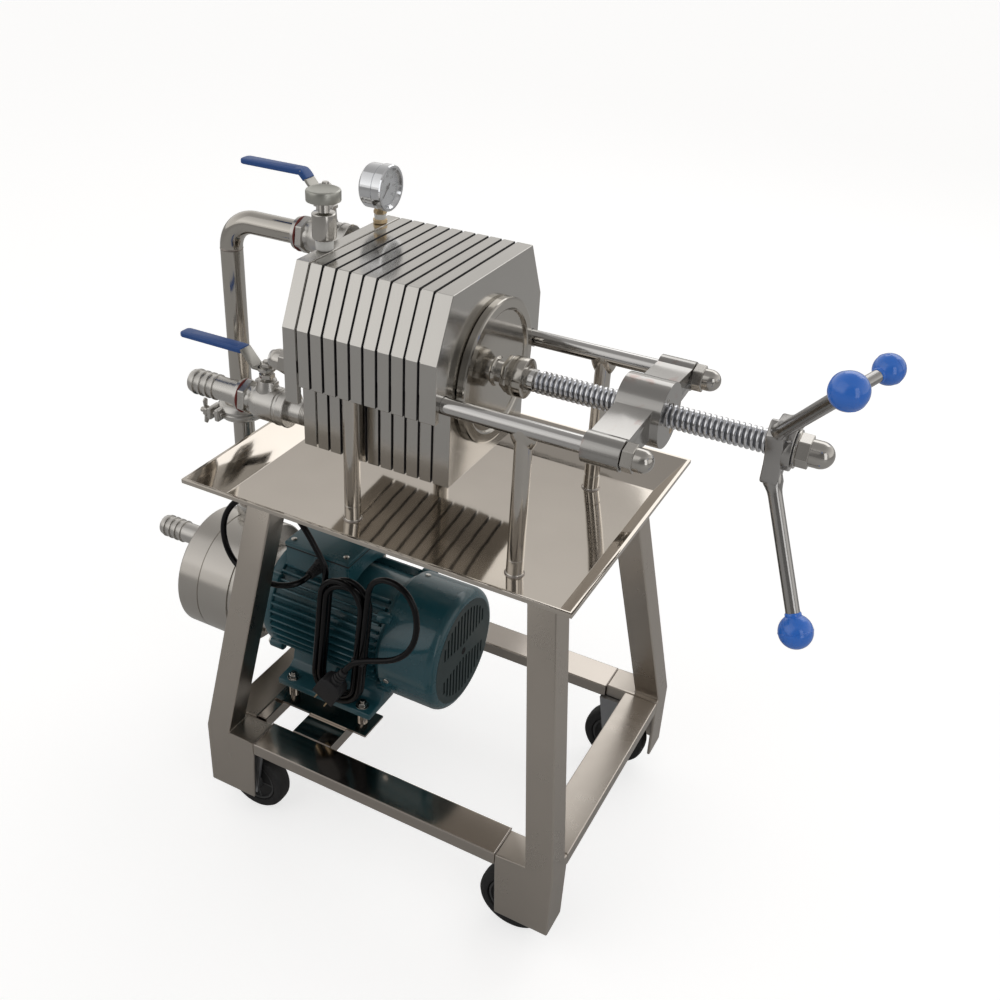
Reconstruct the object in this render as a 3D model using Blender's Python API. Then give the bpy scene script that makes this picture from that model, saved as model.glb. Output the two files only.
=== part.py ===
"""Small plate filter press on a wheeled stand, built as one closed solid per piece.

The press lies along +X, from the fixed head to the handle. +Z is up and -Y is the near side.
Every length is in metres.
"""
import math

import bmesh
import bpy
from mathutils import Matrix, Vector

for old in list(bpy.data.objects):
    bpy.data.objects.remove(old, do_unlink=True)

# Gaps between pieces that touch, and between pieces that turn or slide in each other.
FIT_GAP = 0.0003
RUN_GAP = 0.0006
ROUND_STEPS = 36
SMALL_STEPS = 24

# Stand: rails, splayed legs with folded feet, cross bars and motor bars.
FRAME_HALF_LENGTH = 0.209
FRAME_HALF_WIDTH = 0.1618
RAIL_TOP = 0.1125
RAIL_HEIGHT = 0.015
RAIL_WIDTH = 0.039
FOOT_FRONT_WIDTH = 0.062
FOOT_SIDE_WIDTH = 0.036
FOOT_BOTTOM = 0.031
FOOT_SHEET = 0.0035
FOOT_TAPER_SHARE = 0.95
LEG_WIDTH = 0.0295
LEG_LEAN_LEFT = 0.0396
LEG_LEAN_RIGHT = 0.0429
LEG_LEAN_Y = 0.0514
CROSS_BAR_GAP = 0.0003
CROSS_BAR_LEFT_WIDTH = 0.0118
CROSS_BAR_SPACING = 0.0725
CROSS_BAR_RIGHT_WIDTH = 0.050
MOTOR_BAR_SHEET = 0.0025
MOTOR_BAR_WIDTH = 0.037
MOTOR_BAR_OVERLAP = 0.0005
MOTOR_BAR_MARGIN = 0.0150
SPACER_RADIUS = 0.006
SPACER_HEIGHT = 0.0144

# Casters.
WHEEL_RADIUS = 0.0375
WHEEL_WIDTH = 0.020
WHEEL_INSET_X = 0.047
WHEEL_INSET_Y = 0.0253
WHEEL_BORE = 0.0045
WHEEL_HUB_SHARE = 2.0
WHEEL_DISC_SHARE = 2.6
WHEEL_WEB_SHARE = 0.45
WHEEL_RIM_SHARE = 0.72
WHEEL_LIP_SHARE = 0.80
WHEEL_SHOULDER_SHARE = 0.94
WHEEL_TREAD_SHARE = 0.60
AXLE_RADIUS = 0.0038
FORK_LENGTH = 0.040
FORK_SHEET = 0.003
FORK_SIDE_GAP = 0.0035
FORK_FOOT_SHARE = 0.45
FORK_BELOW_AXLE = 0.008

# Drip tray with flared sides.
TRAY_LEFT_X = -0.215
TRAY_RIGHT_X = 0.194
TRAY_HALF_WIDTH = 0.1494
TRAY_RIM = 0.4188
TRAY_DEPTH = 0.0270
TRAY_FLARE_X = 0.0215
TRAY_FLARE_Y = 0.0325
TRAY_SHEET = 0.0020
TRAY_LIP = 0.0045
TRAY_LIP_OUT = 0.0012
LEG_INTO_TRAY = 0.0082

# Guide rods and their posts.
ROD_INSET = 0.0148
ROD_RADIUS = 0.008
NUT_RADIUS = 0.0130
NUT_LENGTH = 0.0100
DOME_LENGTH = 0.0155
DOME_RADIUS = 0.0112
POST_HEIGHT = 0.1492
POST_RADIUS = 0.0080
POST_LEFT_X = -0.0613
POST_RIGHT_X = 0.1142
POST_BEAD_RADIUS = 0.0090
POST_BEAD_HEIGHT = 0.0025

# Plate pack. Rises and drops are taken from the middle of the guide rods.
PACK_LEFT_X = -0.1247
HEAD_THICKNESS = 0.0140
PLATE_THICKNESS = 0.0120
GASKET_GAP = 0.0022
PLATE_COUNT = 9
FOLLOWER_THICKNESS = 0.0166
PLATE_HALF_Y = 0.1034
PLATE_SHOULDER = 0.0260
PLATE_BODY_INSET = 0.0127
PLATE_RISE = 0.0979
PLATE_KINK_RISE = 0.0422
PLATE_DROP = 0.0911
EAR_DROP = 0.0140
HEAD_EAR_DROP = 0.0330
ROD_CLEARANCE = 0.0005
LAND_INSET = 0.0020
ARCH_STEPS = 8

# Pressure disc and spindle.
DISC_RADIUS = 0.0700
DISC_THICKNESS = 0.0095
DISC_EDGE_SHARE = 0.97
DISC_ROUND_SHARE = 0.20
DISC_RIM_SHARE = 0.84
DISC_FLOOR_SHARE = 0.82
DISC_SINK = 0.0028
DISC_HUB_RADIUS = 0.0240
SPINDLE_NECK_RADIUS = 0.0100
SPINDLE_NECK_LENGTH = 0.0098
SPINDLE_NUT_RADIUS = 0.0180
SPINDLE_NUT_LENGTH = 0.0070
SPINDLE_COLLAR_RADIUS = 0.0190
SPINDLE_COLLAR_LENGTH = 0.0150
SPINDLE_SHANK_RADIUS = 0.0105
SPINDLE_SHANK_LENGTH = 0.0080
SCREW_RADIUS = 0.0110

# Crosshead.
CROSS_LEFT_X = 0.1700
SLEEVE_LENGTH = 0.0339
SLEEVE_RADIUS = 0.0140
BOSS_RADIUS = 0.0302
BOSS_LEAD = 0.0012
BOSS_LENGTH = 0.0415
CROSS_ARM_RISE = 0.0155
CROSS_ARM_DROP = 0.0180
CROSS_ARM_DEGREES = 128.0
DRILL_BEYOND = 0.0100

# Handle. The arms have their own angles, reaches and distances along the screw.
HUB_LEFT_X = 0.3005
HUB_THICKNESS = 0.0150
HUB_BOSS_RADIUS = 0.0200
HUB_BOSS_LENGTH = 0.0060
HUB_LOBE_REACH = 0.0340
HUB_LOBE_HALF_WIDTH = 0.0095
LOBE_WAIST_SHARES = (0.5, 1.3)
ARM_RADIUS = 0.0060
ARM_START = 0.0250
ARM_DEGREES = (10.5, 133.2, 249.5)
BALL_RADIUS = 0.0152
BALL_OUT = 0.0643
BALL_REACH = 0.1460
BALL_OUT_SHARES = (1.0, 1.0, 0.936)
BALL_REACH_SHARES = (1.0, 0.997, 1.027)
BALL_SINK = 0.0100
HANDLE_NUT_RADIUS = 0.0150
HANDLE_NUT_LENGTH = 0.0130
HANDLE_DOME_RADIUS = 0.0120
HANDLE_DOME_LENGTH = 0.0195

# Motor.
DRIVE_Y = -0.0020
MOTOR_FOOT_DROP = 0.0710
BARREL_OVERHANG = 0.0363
BARREL_LENGTH = 0.1620
BELL_LENGTH = 0.0180
BELL_RADIUS = 0.0640
BELL_FACE_SHARE = 0.86
BELL_ROUND_SHARE = 0.30
FIN_RADIUS = 0.0680
FIN_ROOT_SHARE = 0.90
FIN_COUNT = 30
FIN_STEP = 0.0010
COVER_RADIUS = 0.0700
COVER_LENGTH = 0.0657
COVER_FACE_SHARE = 0.86
COVER_ROUND_LENGTH = 0.0110
FOOT_START = 0.0360
FOOT_LENGTH = 0.1220
FOOT_PLATE = 0.0090
FOOT_OUTER = 0.0810
FOOT_INNER = 0.0300
FOOT_WEB_HEIGHT = 0.0300
FOOT_WEB_THICKNESS = 0.0220
FOOT_BOLT_REACH = 0.0710
FOOT_BOLT_INSET = 0.0150
BOX_START = 0.0260
BOX_LENGTH = 0.0820
BOX_HALF_Y = 0.0420
BOX_TOP_RISE = 0.0970
BOX_BOTTOM_RISE = 0.0630

# Pump.
PUMP_DROP = 0.0070
PUMP_RADIUS = 0.0725
PUMP_LENGTH = 0.0810
PUMP_ROUND = 0.0040
LANTERN_RADIUS = 0.0520
LANTERN_LENGTH = 0.0317
INLET_RISE = 0.0290
INLET_LENGTH = 0.0750
INLET_BOSS_RADIUS = 0.0160
INLET_BOSS_LENGTH = 0.0100
BARB_RADIUS = 0.0125
BARB_RING_RADIUS = 0.0137
BARB_BORE = 0.0095
BARB_RINGS = 4
BARB_SHARE = 0.62
BARB_STEP_SHARE = 0.10
BARB_NARROW_SHARE = 0.97

# Riser pipe with its clamp, and the delivery valve.
PIPE_RADIUS = 0.0118
PIPE_Y = 0.0200
PIPE_DROP = 0.0154
PIPE_BEND = 0.0320
PORT_INSET = 0.0400
PORT_RADIUS = 0.0150
PORT_RISE = 0.0880
CLAMP_RISE = 0.1250
CLAMP_RADIUS = 0.0280
CLAMP_HEIGHT = 0.0180
CLAMP_EDGE_SHARE = 0.88
VALVE_REACH = 0.0340
VALVE_ARM = 0.0340
VALVE_HEX_RADIUS = 0.0175
VALVE_HEX_LENGTH = 0.0140
VALVE_BODY_RADIUS = 0.0185
VALVE_WAIST_RADIUS = 0.0150
VALVE_BELLY = 0.0100
VALVE_CAP_START = 0.0170
VALVE_CAP_END = 0.0290
VALVE_CAP_RADIUS = 0.0192
VALVE_NIPPLE_RADIUS = 0.0125
VALVE_NECK_RADIUS = 0.0095
VALVE_STEM_RADIUS = 0.0045
VALVE_STEM_LENGTH = 0.0090
DELIVERY_SEAT = 0.0460
LEVER_LIFT = 0.0150
LEVER_LENGTH = 0.0980
LEVER_STEP_START = 0.0110
LEVER_STEP_END = 0.0240
LEVER_STEP_LEAN = 0.0017
LEVER_WIDTH = 0.0160
LEVER_SHEET = 0.0050
LEVER_HUB_RADIUS = 0.0090

# Outlet valve low on the fixed head.
OUTLET_Y = -0.0600
OUTLET_RISE = 0.0236
OUTLET_VALVE_REACH = 0.0540
OUTLET_TAIL_LENGTH = 0.0610
OUTLET_SEAT = 0.0350
OUTLET_LEVER_LENGTH = 0.1040

# Vent and gauge on the fixed head.
VENT_Y = -0.0430
VENT_FOOT_RADIUS = 0.0068
VENT_BODY_RADIUS = 0.0135
VENT_NECK_RADIUS = 0.0072
VENT_CAP_RADIUS = 0.0180
VENT_FOOT_TOP = 0.0110
VENT_BODY_TOP = 0.0330
VENT_NECK_TOP = 0.0415
VENT_CAP_TOP = 0.0590
VENT_CAP_ROUND = 0.0030
GAUGE_Y = 0.0520
GAUGE_RISE = 0.0361
GAUGE_RADIUS = 0.0225
GAUGE_DEPTH = 0.0260
GAUGE_BEZEL_RADIUS = 0.0240
GAUGE_BEZEL_DEPTH = 0.0050
GAUGE_EDGE_SHARE = 0.97
GAUGE_BACK_SHARE = 0.92
GAUGE_FACE_SHARE = 0.86
GAUGE_STEM_RADIUS = 0.0050
GAUGE_HEX_RADIUS = 0.0074
GAUGE_HEX_BASE = 0.0055
GAUGE_DIAL_SINK = 0.0030

# Mains cord: gland on the terminal box, lead, hank before the motor, tail and plug.
CORD_RADIUS = 0.0033
HANK_TURN_RADIUS = 0.0282
HANK_RUN = 0.1050
HANK_STUB = 0.0200
HANK_LEAN_DEGREES = 6.0
HANK_ALONG_FOOT = 0.0800
HANK_Y = -0.0797
HANK_END_STEPS = 12
GLAND_START = 0.0480
GLAND_RISE = 0.0830
GLAND_NUT_RADIUS = 0.0090
GLAND_NUT_LENGTH = 0.0040
GLAND_CONE_RADIUS = 0.0070
GLAND_CONE_LENGTH = 0.0200
GLAND_TIP_RADIUS = 0.0045
ROUTE_UNIT = 0.0010
CORD_STRAIGHT_AT_GLAND = 0.0040
CORD_STRAIGHT = 0.0060
PLUG_PAST_HANK = 0.0198
PLUG_ABOVE_FOOT = 0.0610
PLUG_LEAN_DEGREES = 30.6
PLUG_THICKNESS = 0.0180
PLUG_WIDTH = 0.0280
PLUG_LENGTH = 0.0300
PLUG_SLEEVE_LENGTH = 0.0200
PLUG_SLEEVE_START = 0.0040
PLUG_SLEEVE_END = 0.0075
PLUG_CHAMFER = 0.0070
BLADE_LENGTH = 0.0150
BLADE_WIDTH = 0.0060
BLADE_THICKNESS = 0.0016
BLADE_SPREAD = 0.0070

# Way of the lead from gland to hank and of the tail from hank to plug. Each row gives how far along the
# straight line between its ends a point lies, and its offset from that line in route units.
LEAD_ROUTE = (
    (0.00, 0.0, 0.0, 0.0), (0.02, -1.6, -6.9, -0.9), (0.04, -5.2, -13.3, -1.9),
    (0.06, -10.6, -18.4, -2.8), (0.09, -17.5, -21.9, -3.9), (0.11, -25.0, -23.5, -4.9),
    (0.14, -34.9, -23.4, -6.4), (0.17, -46.7, -22.2, -8.2), (0.21, -59.8, -20.2, -9.9),
    (0.24, -72.7, -18.0, -10.3), (0.28, -84.8, -15.6, -8.8), (0.31, -95.1, -13.4, -3.9),
    (0.35, -103.5, -11.3, 3.6), (0.38, -109.0, -9.5, 13.2), (0.42, -111.9, -7.8, 23.8),
    (0.45, -111.5, -6.3, 35.2), (0.49, -108.1, -4.8, 45.9), (0.53, -101.5, -3.5, 56.1),
    (0.57, -91.8, -2.3, 64.8), (0.62, -80.2, -1.4, 70.5), (0.66, -67.3, -0.9, 73.6),
    (0.71, -54.7, -0.6, 73.2), (0.75, -42.8, -0.6, 69.5), (0.79, -32.2, -0.8, 62.5),
    (0.83, -23.3, -0.8, 52.7), (0.87, -15.9, -0.7, 40.9), (0.91, -9.8, -0.4, 28.6),
    (0.95, -4.6, -0.2, 16.9), (0.98, -1.1, -0.1, 7.8), (1.00, 0.0, 0.0, 0.0),
)
TAIL_ROUTE = (
    (0.00, 0.0, 0.0, 0.0), (0.04, 2.4, 0.3, 13.1), (0.09, 7.8, 0.3, 26.8), (0.13, 15.7, 0.1, 37.5),
    (0.18, 26.2, 0.0, 46.5), (0.22, 37.9, -0.2, 50.6), (0.27, 49.3, -0.2, 51.3),
    (0.33, 58.9, 0.0, 48.7), (0.38, 65.4, 0.0, 41.9), (0.44, 68.9, 0.1, 34.0), (0.50, 69.7, 0.2, 25.6),
    (0.56, 67.6, 0.1, 17.7), (0.63, 62.6, -0.1, 12.0), (0.69, 54.4, -0.5, 7.7), (0.74, 44.1, -1.1, 5.5),
    (0.80, 32.8, -1.4, 6.2), (0.86, 21.9, -1.4, 6.9), (0.91, 12.1, -1.1, 5.5), (0.96, 4.9, -0.5, 3.6),
    (1.00, 0.0, 0.0, 0.0),
)

MATERIALS = {
    "mirror_steel": ((0.56, 0.54, 0.51), 0.16, 1.0),
    "satin_steel": ((0.50, 0.48, 0.45), 0.34, 1.0),
    "plate_steel": ((0.52, 0.50, 0.47), 0.24, 1.0),
    "motor_green": ((0.018, 0.075, 0.085), 0.22, 0.0),
    "cover_dark": ((0.020, 0.040, 0.042), 0.38, 0.0),
    "blue_vinyl": ((0.028, 0.078, 0.350), 0.42, 0.0),
    "blue_ball": ((0.035, 0.110, 0.480), 0.12, 0.0),
    "black_wheel": ((0.012, 0.012, 0.014), 0.50, 0.0),
    "steel_gauge": ((0.60, 0.60, 0.61), 0.22, 1.0),
    "black_cord": ((0.010, 0.010, 0.011), 0.45, 0.0),
}


def material(name):
    """Return the named material, made on first use."""
    found = bpy.data.materials.get(name)
    if found is not None:
        return found
    colour, roughness, metallic = MATERIALS[name]
    made = bpy.data.materials.new(name)
    made.use_nodes = True
    shader = made.node_tree.nodes["Principled BSDF"]
    shader.inputs["Base Color"].default_value = (*colour, 1.0)
    shader.inputs["Roughness"].default_value = roughness
    shader.inputs["Metallic"].default_value = metallic
    made.diffuse_color = (*colour, 1.0)
    return made


def place(name, mesh, coat, origin=(0.0, 0.0, 0.0)):
    """Finish a mesh as an object whose own origin lies at the given point."""
    bmesh.ops.recalc_face_normals(mesh, faces=mesh.faces)
    bmesh.ops.translate(mesh, verts=mesh.verts, vec=-Vector(origin))
    data = bpy.data.meshes.new(name)
    mesh.to_mesh(data)
    mesh.free()
    made = bpy.data.objects.new(name, data)
    made.location = origin
    bpy.context.scene.collection.objects.link(made)
    data.materials.append(material(coat))
    return made


def skin(rings, ring_closed=False):
    """Join rings of points into one closed surface."""
    mesh = bmesh.new()
    loops = [[mesh.verts.new(point) for point in ring] for ring in rings]
    count = len(loops)
    steps = count if ring_closed else count - 1
    for index in range(steps):
        low = loops[index]
        high = loops[(index + 1) % count]
        size = len(low)
        for corner in range(size):
            after = (corner + 1) % size
            mesh.faces.new((low[corner], low[after], high[after], high[corner]))
    if not ring_closed:
        mesh.faces.new(loops[0])
        mesh.faces.new(loops[-1])
    return mesh


def spot(axis, along, first, second):
    """Point with one coordinate along an axis and two across it, in X, Y, Z order."""
    if axis == "X":
        return Vector((along, first, second))
    if axis == "Y":
        return Vector((first, along, second))
    return Vector((first, second, along))


def prism(outline, axis, start, end):
    """Solid with a flat outline, drawn out along an axis."""
    rings = [[spot(axis, along, *point) for point in outline] for along in (start, end)]
    return skin(rings)


def block(low, high):
    """Box between two corners."""
    outline = [(low[0], low[1]), (high[0], low[1]), (high[0], high[1]), (low[0], high[1])]
    return prism(outline, "Z", low[2], high[2])


def circle(centre, radius, steps, turn=0.0):
    """Points of a circle in a plane."""
    points = []
    for index in range(steps):
        angle = math.tau * index / steps + turn
        points.append((centre[0] + radius * math.cos(angle), centre[1] + radius * math.sin(angle)))
    return points


def turned(profile, axis, centre, steps=ROUND_STEPS, turn=0.0):
    """Solid of round sections; each profile point is a place along the axis and a radius."""
    rings = [[spot(axis, along, *point) for point in circle(centre, radius, steps, turn)]
             for along, radius in profile]
    return skin(rings)


def hollow(profile, axis, centre, steps=ROUND_STEPS):
    """Round solid with a hole through it; the profile is a closed loop."""
    rings = [[spot(axis, along, *point) for point in circle(centre, radius, steps)]
             for along, radius in profile]
    return skin(rings, ring_closed=True)


def dome(start, length, radius, steps=5):
    """Profile points of a rounded nose that ends in a small flat."""
    points = []
    quarter = math.pi / 2
    for index in range(steps + 1):
        angle = quarter * index / (steps + 1)
        points.append((start + length * math.sin(angle), radius * math.cos(angle)))
    points.append((start + length, radius * math.cos(quarter * steps / (steps + 1)) / 2))
    return points


def combine(body, helper, how="UNION"):
    """Add a helper shape to a body, or cut it away."""
    step = body.modifiers.new(helper.name, "BOOLEAN")
    step.operation = how
    step.solver = "EXACT"
    step.object = helper
    helper.hide_render = True
    helper.display_type = "WIRE"
    return body


def helper(name, mesh):
    """Shape that only serves another piece."""
    return place(name, mesh, "satin_steel")


def bent_pipe(name, path, radius, coat, detail):
    """Round pipe along a path of points, closed at both ends."""
    curve = bpy.data.curves.new(name, "CURVE")
    curve.dimensions = "3D"
    curve.bevel_depth = radius
    curve.bevel_resolution = detail
    curve.use_fill_caps = True
    spline = curve.splines.new("POLY")
    spline.points.add(len(path) - 1)
    for point, target in zip(spline.points, path):
        point.co = (*target, 1.0)
    made = bpy.data.objects.new(name, curve)
    bpy.context.scene.collection.objects.link(made)
    curve.materials.append(material(coat))
    return made


def make_rail(name, low_x, high_x, low_y, high_y):
    """One flat tube of the stand's lower frame."""
    mesh = block((low_x, low_y, RAIL_TOP - RAIL_HEIGHT), (high_x, high_y, RAIL_TOP))
    return place(name, mesh, "satin_steel")


def make_leg(name, side_x, side_y):
    """Splayed square tube with the folded foot plate that hides the caster."""
    low_x = side_x * FRAME_HALF_LENGTH
    low_y = side_y * FRAME_HALF_WIDTH
    top_x = low_x - side_x * (LEG_LEAN_RIGHT if side_x > 0 else LEG_LEAN_LEFT)
    top_y = low_y - side_y * LEG_LEAN_Y

    def section(corner_x, corner_y, height):
        in_x = corner_x - side_x * LEG_WIDTH
        in_y = corner_y - side_y * LEG_WIDTH
        return [(corner_x, corner_y, height), (in_x, corner_y, height), (in_x, in_y, height),
                (corner_x, in_y, height)]

    tube = skin([section(low_x, low_y, RAIL_TOP), section(top_x, top_y, tray_floor + LEG_INTO_TRAY)])
    leg = place(name, tube, "satin_steel")
    reach_x = low_x - side_x * FOOT_FRONT_WIDTH
    reach_y = low_y - side_y * FOOT_SIDE_WIDTH
    corner = block((min(low_x, reach_x), min(low_y, reach_y), RAIL_TOP - RAIL_HEIGHT),
                   (max(low_x, reach_x), max(low_y, reach_y), RAIL_TOP))
    combine(leg, helper(name + "_corner", corner))
    inner_y = low_y - side_y * FOOT_SHEET
    front = [(low_x, RAIL_TOP), (reach_x, RAIL_TOP), (reach_x, RAIL_TOP - RAIL_HEIGHT),
             (low_x - side_x * FOOT_FRONT_WIDTH * FOOT_TAPER_SHARE, FOOT_BOTTOM), (low_x, FOOT_BOTTOM)]
    combine(leg, helper(name + "_front", prism(front, "Y", low_y, inner_y)))
    inner_x = low_x - side_x * FOOT_SHEET
    side = [(low_y, RAIL_TOP), (reach_y, RAIL_TOP), (reach_y, RAIL_TOP - RAIL_HEIGHT),
            (low_y - side_y * FOOT_SIDE_WIDTH * FOOT_TAPER_SHARE, FOOT_BOTTOM), (low_y, FOOT_BOTTOM)]
    combine(leg, helper(name + "_side", prism(side, "X", low_x, inner_x)))
    return combine(leg, tray_shadow, "DIFFERENCE")


def tray_rings(grow, floor, rim):
    """Floor and rim outlines of the tray, grown outwards."""
    rings = []
    for height, flare_x, flare_y in ((floor, TRAY_FLARE_X, TRAY_FLARE_Y), (rim, 0.0, 0.0)):
        low_x = TRAY_LEFT_X + flare_x - grow
        high_x = TRAY_RIGHT_X - flare_x + grow
        half_y = TRAY_HALF_WIDTH - flare_y + grow
        rings.append([(low_x, -half_y, height), (high_x, -half_y, height),
                      (high_x, half_y, height), (low_x, half_y, height)])
    return rings


def make_tray():
    """Thin tray with flared sides and a folded lip."""
    lip_height = TRAY_RIM - TRAY_LIP
    outside = tray_rings(TRAY_SHEET, tray_floor - TRAY_SHEET, lip_height)
    lip = tray_rings(TRAY_SHEET + TRAY_LIP_OUT, tray_floor, lip_height)[1]
    rim = tray_rings(TRAY_SHEET + TRAY_LIP_OUT, tray_floor, TRAY_RIM)[1]
    inside = tray_rings(0.0, tray_floor, TRAY_RIM)
    mesh = skin([outside[0], outside[1], lip, rim, inside[1], inside[0]])
    return place("tray", mesh, "mirror_steel")


def plate_outline(ear_bottom):
    """Outline of a plate with a notch over each guide rod, counter-clockwise from below."""
    notch = ROD_RADIUS + ROD_CLEARANCE
    half = [(body_half_y, plate_bottom), (body_half_y, rod_z - EAR_DROP),
            (rod_y - notch, rod_z - ROD_RADIUS)]
    for index in range(ARCH_STEPS + 1):
        angle = math.pi - math.pi * index / ARCH_STEPS
        half.append((rod_y + notch * math.cos(angle), rod_z + notch * math.sin(angle)))
    half += [(rod_y + notch, ear_bottom), (PLATE_HALF_Y, ear_bottom), (PLATE_HALF_Y, plate_kink),
             (top_half_y, plate_top)]
    return half + [(-y, z) for y, z in reversed(half)]


def land_outline():
    """Outline of the raised sealing land, kept clear of the rods."""
    low_y = body_half_y - LAND_INSET
    step_z = rod_z + ROD_RADIUS + ROD_CLEARANCE + LAND_INSET
    half = [(low_y, plate_bottom + LAND_INSET), (low_y, step_z), (PLATE_HALF_Y - LAND_INSET, step_z),
            (PLATE_HALF_Y - LAND_INSET, plate_kink), (top_half_y - LAND_INSET / 2, plate_top - LAND_INSET)]
    return half + [(-y, z) for y, z in reversed(half)]


def make_plate(name, start, thickness, ear_drop, land=True):
    """Plate with its notches and, on the left, the land that presses on the next plate."""
    outline = plate_outline(rod_z - ear_drop)
    made = place(name, prism(outline, "X", start, start + thickness), "plate_steel", (start, 0.0, rod_z))
    if land:
        shape = prism(land_outline(), "X", start - GASKET_GAP + FIT_GAP, start + thickness / 2)
        combine(made, helper(name + "_land", shape))
    return made


def make_rod(name, side):
    """Guide rod with its end nuts and the two posts that carry it."""
    y = side * rod_y
    left = PACK_LEFT_X - FIT_GAP
    right = CROSS_LEFT_X + SLEEVE_LENGTH + FIT_GAP
    left_tip = [(left - NUT_LENGTH - along, radius)
                for along, radius in reversed(dome(0.0, DOME_LENGTH, DOME_RADIUS))]
    right_tip = dome(right + NUT_LENGTH, DOME_LENGTH, DOME_RADIUS)
    profile = left_tip + [(left - NUT_LENGTH, NUT_RADIUS), (left, NUT_RADIUS), (left, ROD_RADIUS),
                          (right, ROD_RADIUS), (right, NUT_RADIUS), (right + NUT_LENGTH, NUT_RADIUS)]
    rod = place(name, turned(profile + right_tip, "X", (y, rod_z), SMALL_STEPS), "mirror_steel")
    foot = tray_floor + FIT_GAP
    for label, x in (("left", POST_LEFT_X), ("right", POST_RIGHT_X)):
        post = [(foot, POST_BEAD_RADIUS), (foot + POST_BEAD_HEIGHT, POST_RADIUS), (rod_z, POST_RADIUS)]
        combine(rod, helper(name + "_post_" + label, turned(post, "Z", (x, y), SMALL_STEPS)))
    return rod


def make_caster(name, x, y):
    """Fork plate with two cheeks and an axle, and the wheel that turns on it."""
    top = RAIL_TOP - RAIL_HEIGHT - FIT_GAP
    inner = WHEEL_WIDTH / 2 + FORK_SIDE_GAP
    outer = inner + FORK_SHEET
    low = WHEEL_RADIUS - FORK_BELOW_AXLE
    crown = top - FORK_SHEET
    rings = []
    for along in (-FORK_LENGTH / 2, FORK_LENGTH / 2):
        foot = x + along * FORK_FOOT_SHARE
        wide = x + along
        rings.append([(foot, y - outer, low), (wide, y - outer, top), (wide, y + outer, top),
                      (foot, y + outer, low), (foot, y + inner, low), (wide, y + inner, crown),
                      (wide, y - inner, crown), (foot, y - inner, low)])
    fork = place(name + "_fork", skin(rings), "satin_steel")
    axle_end = outer + FORK_SHEET
    axle_line = [(y - axle_end, AXLE_RADIUS), (y + axle_end, AXLE_RADIUS)]
    axle = turned(axle_line, "Y", (x, WHEEL_RADIUS), SMALL_STEPS)
    combine(fork, helper(name + "_axle", axle))
    half = WHEEL_WIDTH / 2
    side = [(inner - RUN_GAP, WHEEL_BORE), (inner - RUN_GAP, WHEEL_BORE * WHEEL_HUB_SHARE),
            (half * WHEEL_WEB_SHARE, WHEEL_BORE * WHEEL_DISC_SHARE),
            (half * WHEEL_WEB_SHARE, WHEEL_RADIUS * WHEEL_RIM_SHARE), (half, WHEEL_RADIUS * WHEEL_LIP_SHARE),
            (half, WHEEL_RADIUS * WHEEL_SHOULDER_SHARE), (half * WHEEL_TREAD_SHARE, WHEEL_RADIUS)]
    profile = [(y - along, radius) for along, radius in side]
    profile += [(y + along, radius) for along, radius in reversed(side)]
    wheel = hollow(profile, "Y", (x, WHEEL_RADIUS))
    place(name + "_wheel", wheel, "black_wheel", (x, y, WHEEL_RADIUS))


def make_valve(name, x, y, z, left, right, seat):
    """Ball valve body with a hexagon, an end cap and a nipple, and the neck of its stem."""
    profile = [(left, VALVE_HEX_RADIUS), (left + VALVE_HEX_LENGTH, VALVE_HEX_RADIUS),
               (left + VALVE_HEX_LENGTH, VALVE_WAIST_RADIUS), (x - VALVE_BELLY, VALVE_BODY_RADIUS),
               (x + VALVE_CAP_START, VALVE_BODY_RADIUS), (x + VALVE_CAP_START, VALVE_CAP_RADIUS),
               (x + VALVE_CAP_END, VALVE_CAP_RADIUS), (x + VALVE_CAP_END, VALVE_NIPPLE_RADIUS),
               (right, VALVE_NIPPLE_RADIUS)]
    body = place(name, turned(profile, "X", (y, z), SMALL_STEPS), "satin_steel")
    shoulder = z + seat - VALVE_STEM_LENGTH
    neck = [(z, VALVE_NECK_RADIUS), (shoulder, VALVE_NECK_RADIUS), (shoulder, VALVE_STEM_RADIUS),
            (z + seat - FIT_GAP, VALVE_STEM_RADIUS)]
    return combine(body, helper(name + "_neck", turned(neck, "Z", (x, y), SMALL_STEPS)))


def make_lever(name, x, y, low, length):
    """Cranked lever that points left when the valve is open."""
    high = low + LEVER_LIFT
    side = [(x + LEVER_HUB_RADIUS, low), (x + LEVER_HUB_RADIUS, low + LEVER_SHEET),
            (x - LEVER_STEP_START, low + LEVER_SHEET), (x - LEVER_STEP_END, high + LEVER_SHEET),
            (x - length, high + LEVER_SHEET), (x - length, high),
            (x - LEVER_STEP_END - LEVER_STEP_LEAN, high),
            (x - LEVER_STEP_START - LEVER_STEP_LEAN, low)]
    mesh = prism(side, "Y", y - LEVER_WIDTH / 2, y + LEVER_WIDTH / 2)
    return place(name, mesh, "blue_vinyl", (x, y, low))


def barb_profile(root, tip, direction):
    """Ringed hose tail from its root to its open tip."""
    length = abs(tip - root)
    plain = length * (1 - BARB_SHARE)
    points = [(0.0, BARB_RADIUS), (plain, BARB_RADIUS)]
    step = (length - plain) / BARB_RINGS
    for index in range(BARB_RINGS):
        start = plain + index * step
        points += [(start + step * BARB_STEP_SHARE, BARB_RING_RADIUS),
                   (start + step, BARB_RADIUS * BARB_NARROW_SHARE)]
    points += [(length, BARB_BORE), (0.0, BARB_BORE)]
    return [(root + direction * along, radius) for along, radius in points]


def arc(centre, radius, start, end, count):
    """Points of an arc in the XZ plane through a centre."""
    points = []
    for index in range(count + 1):
        angle = math.radians(start + (end - start) * index / count)
        points.append((centre[0] + radius * math.cos(angle), centre[1],
                       centre[2] + radius * math.sin(angle)))
    return points


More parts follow.
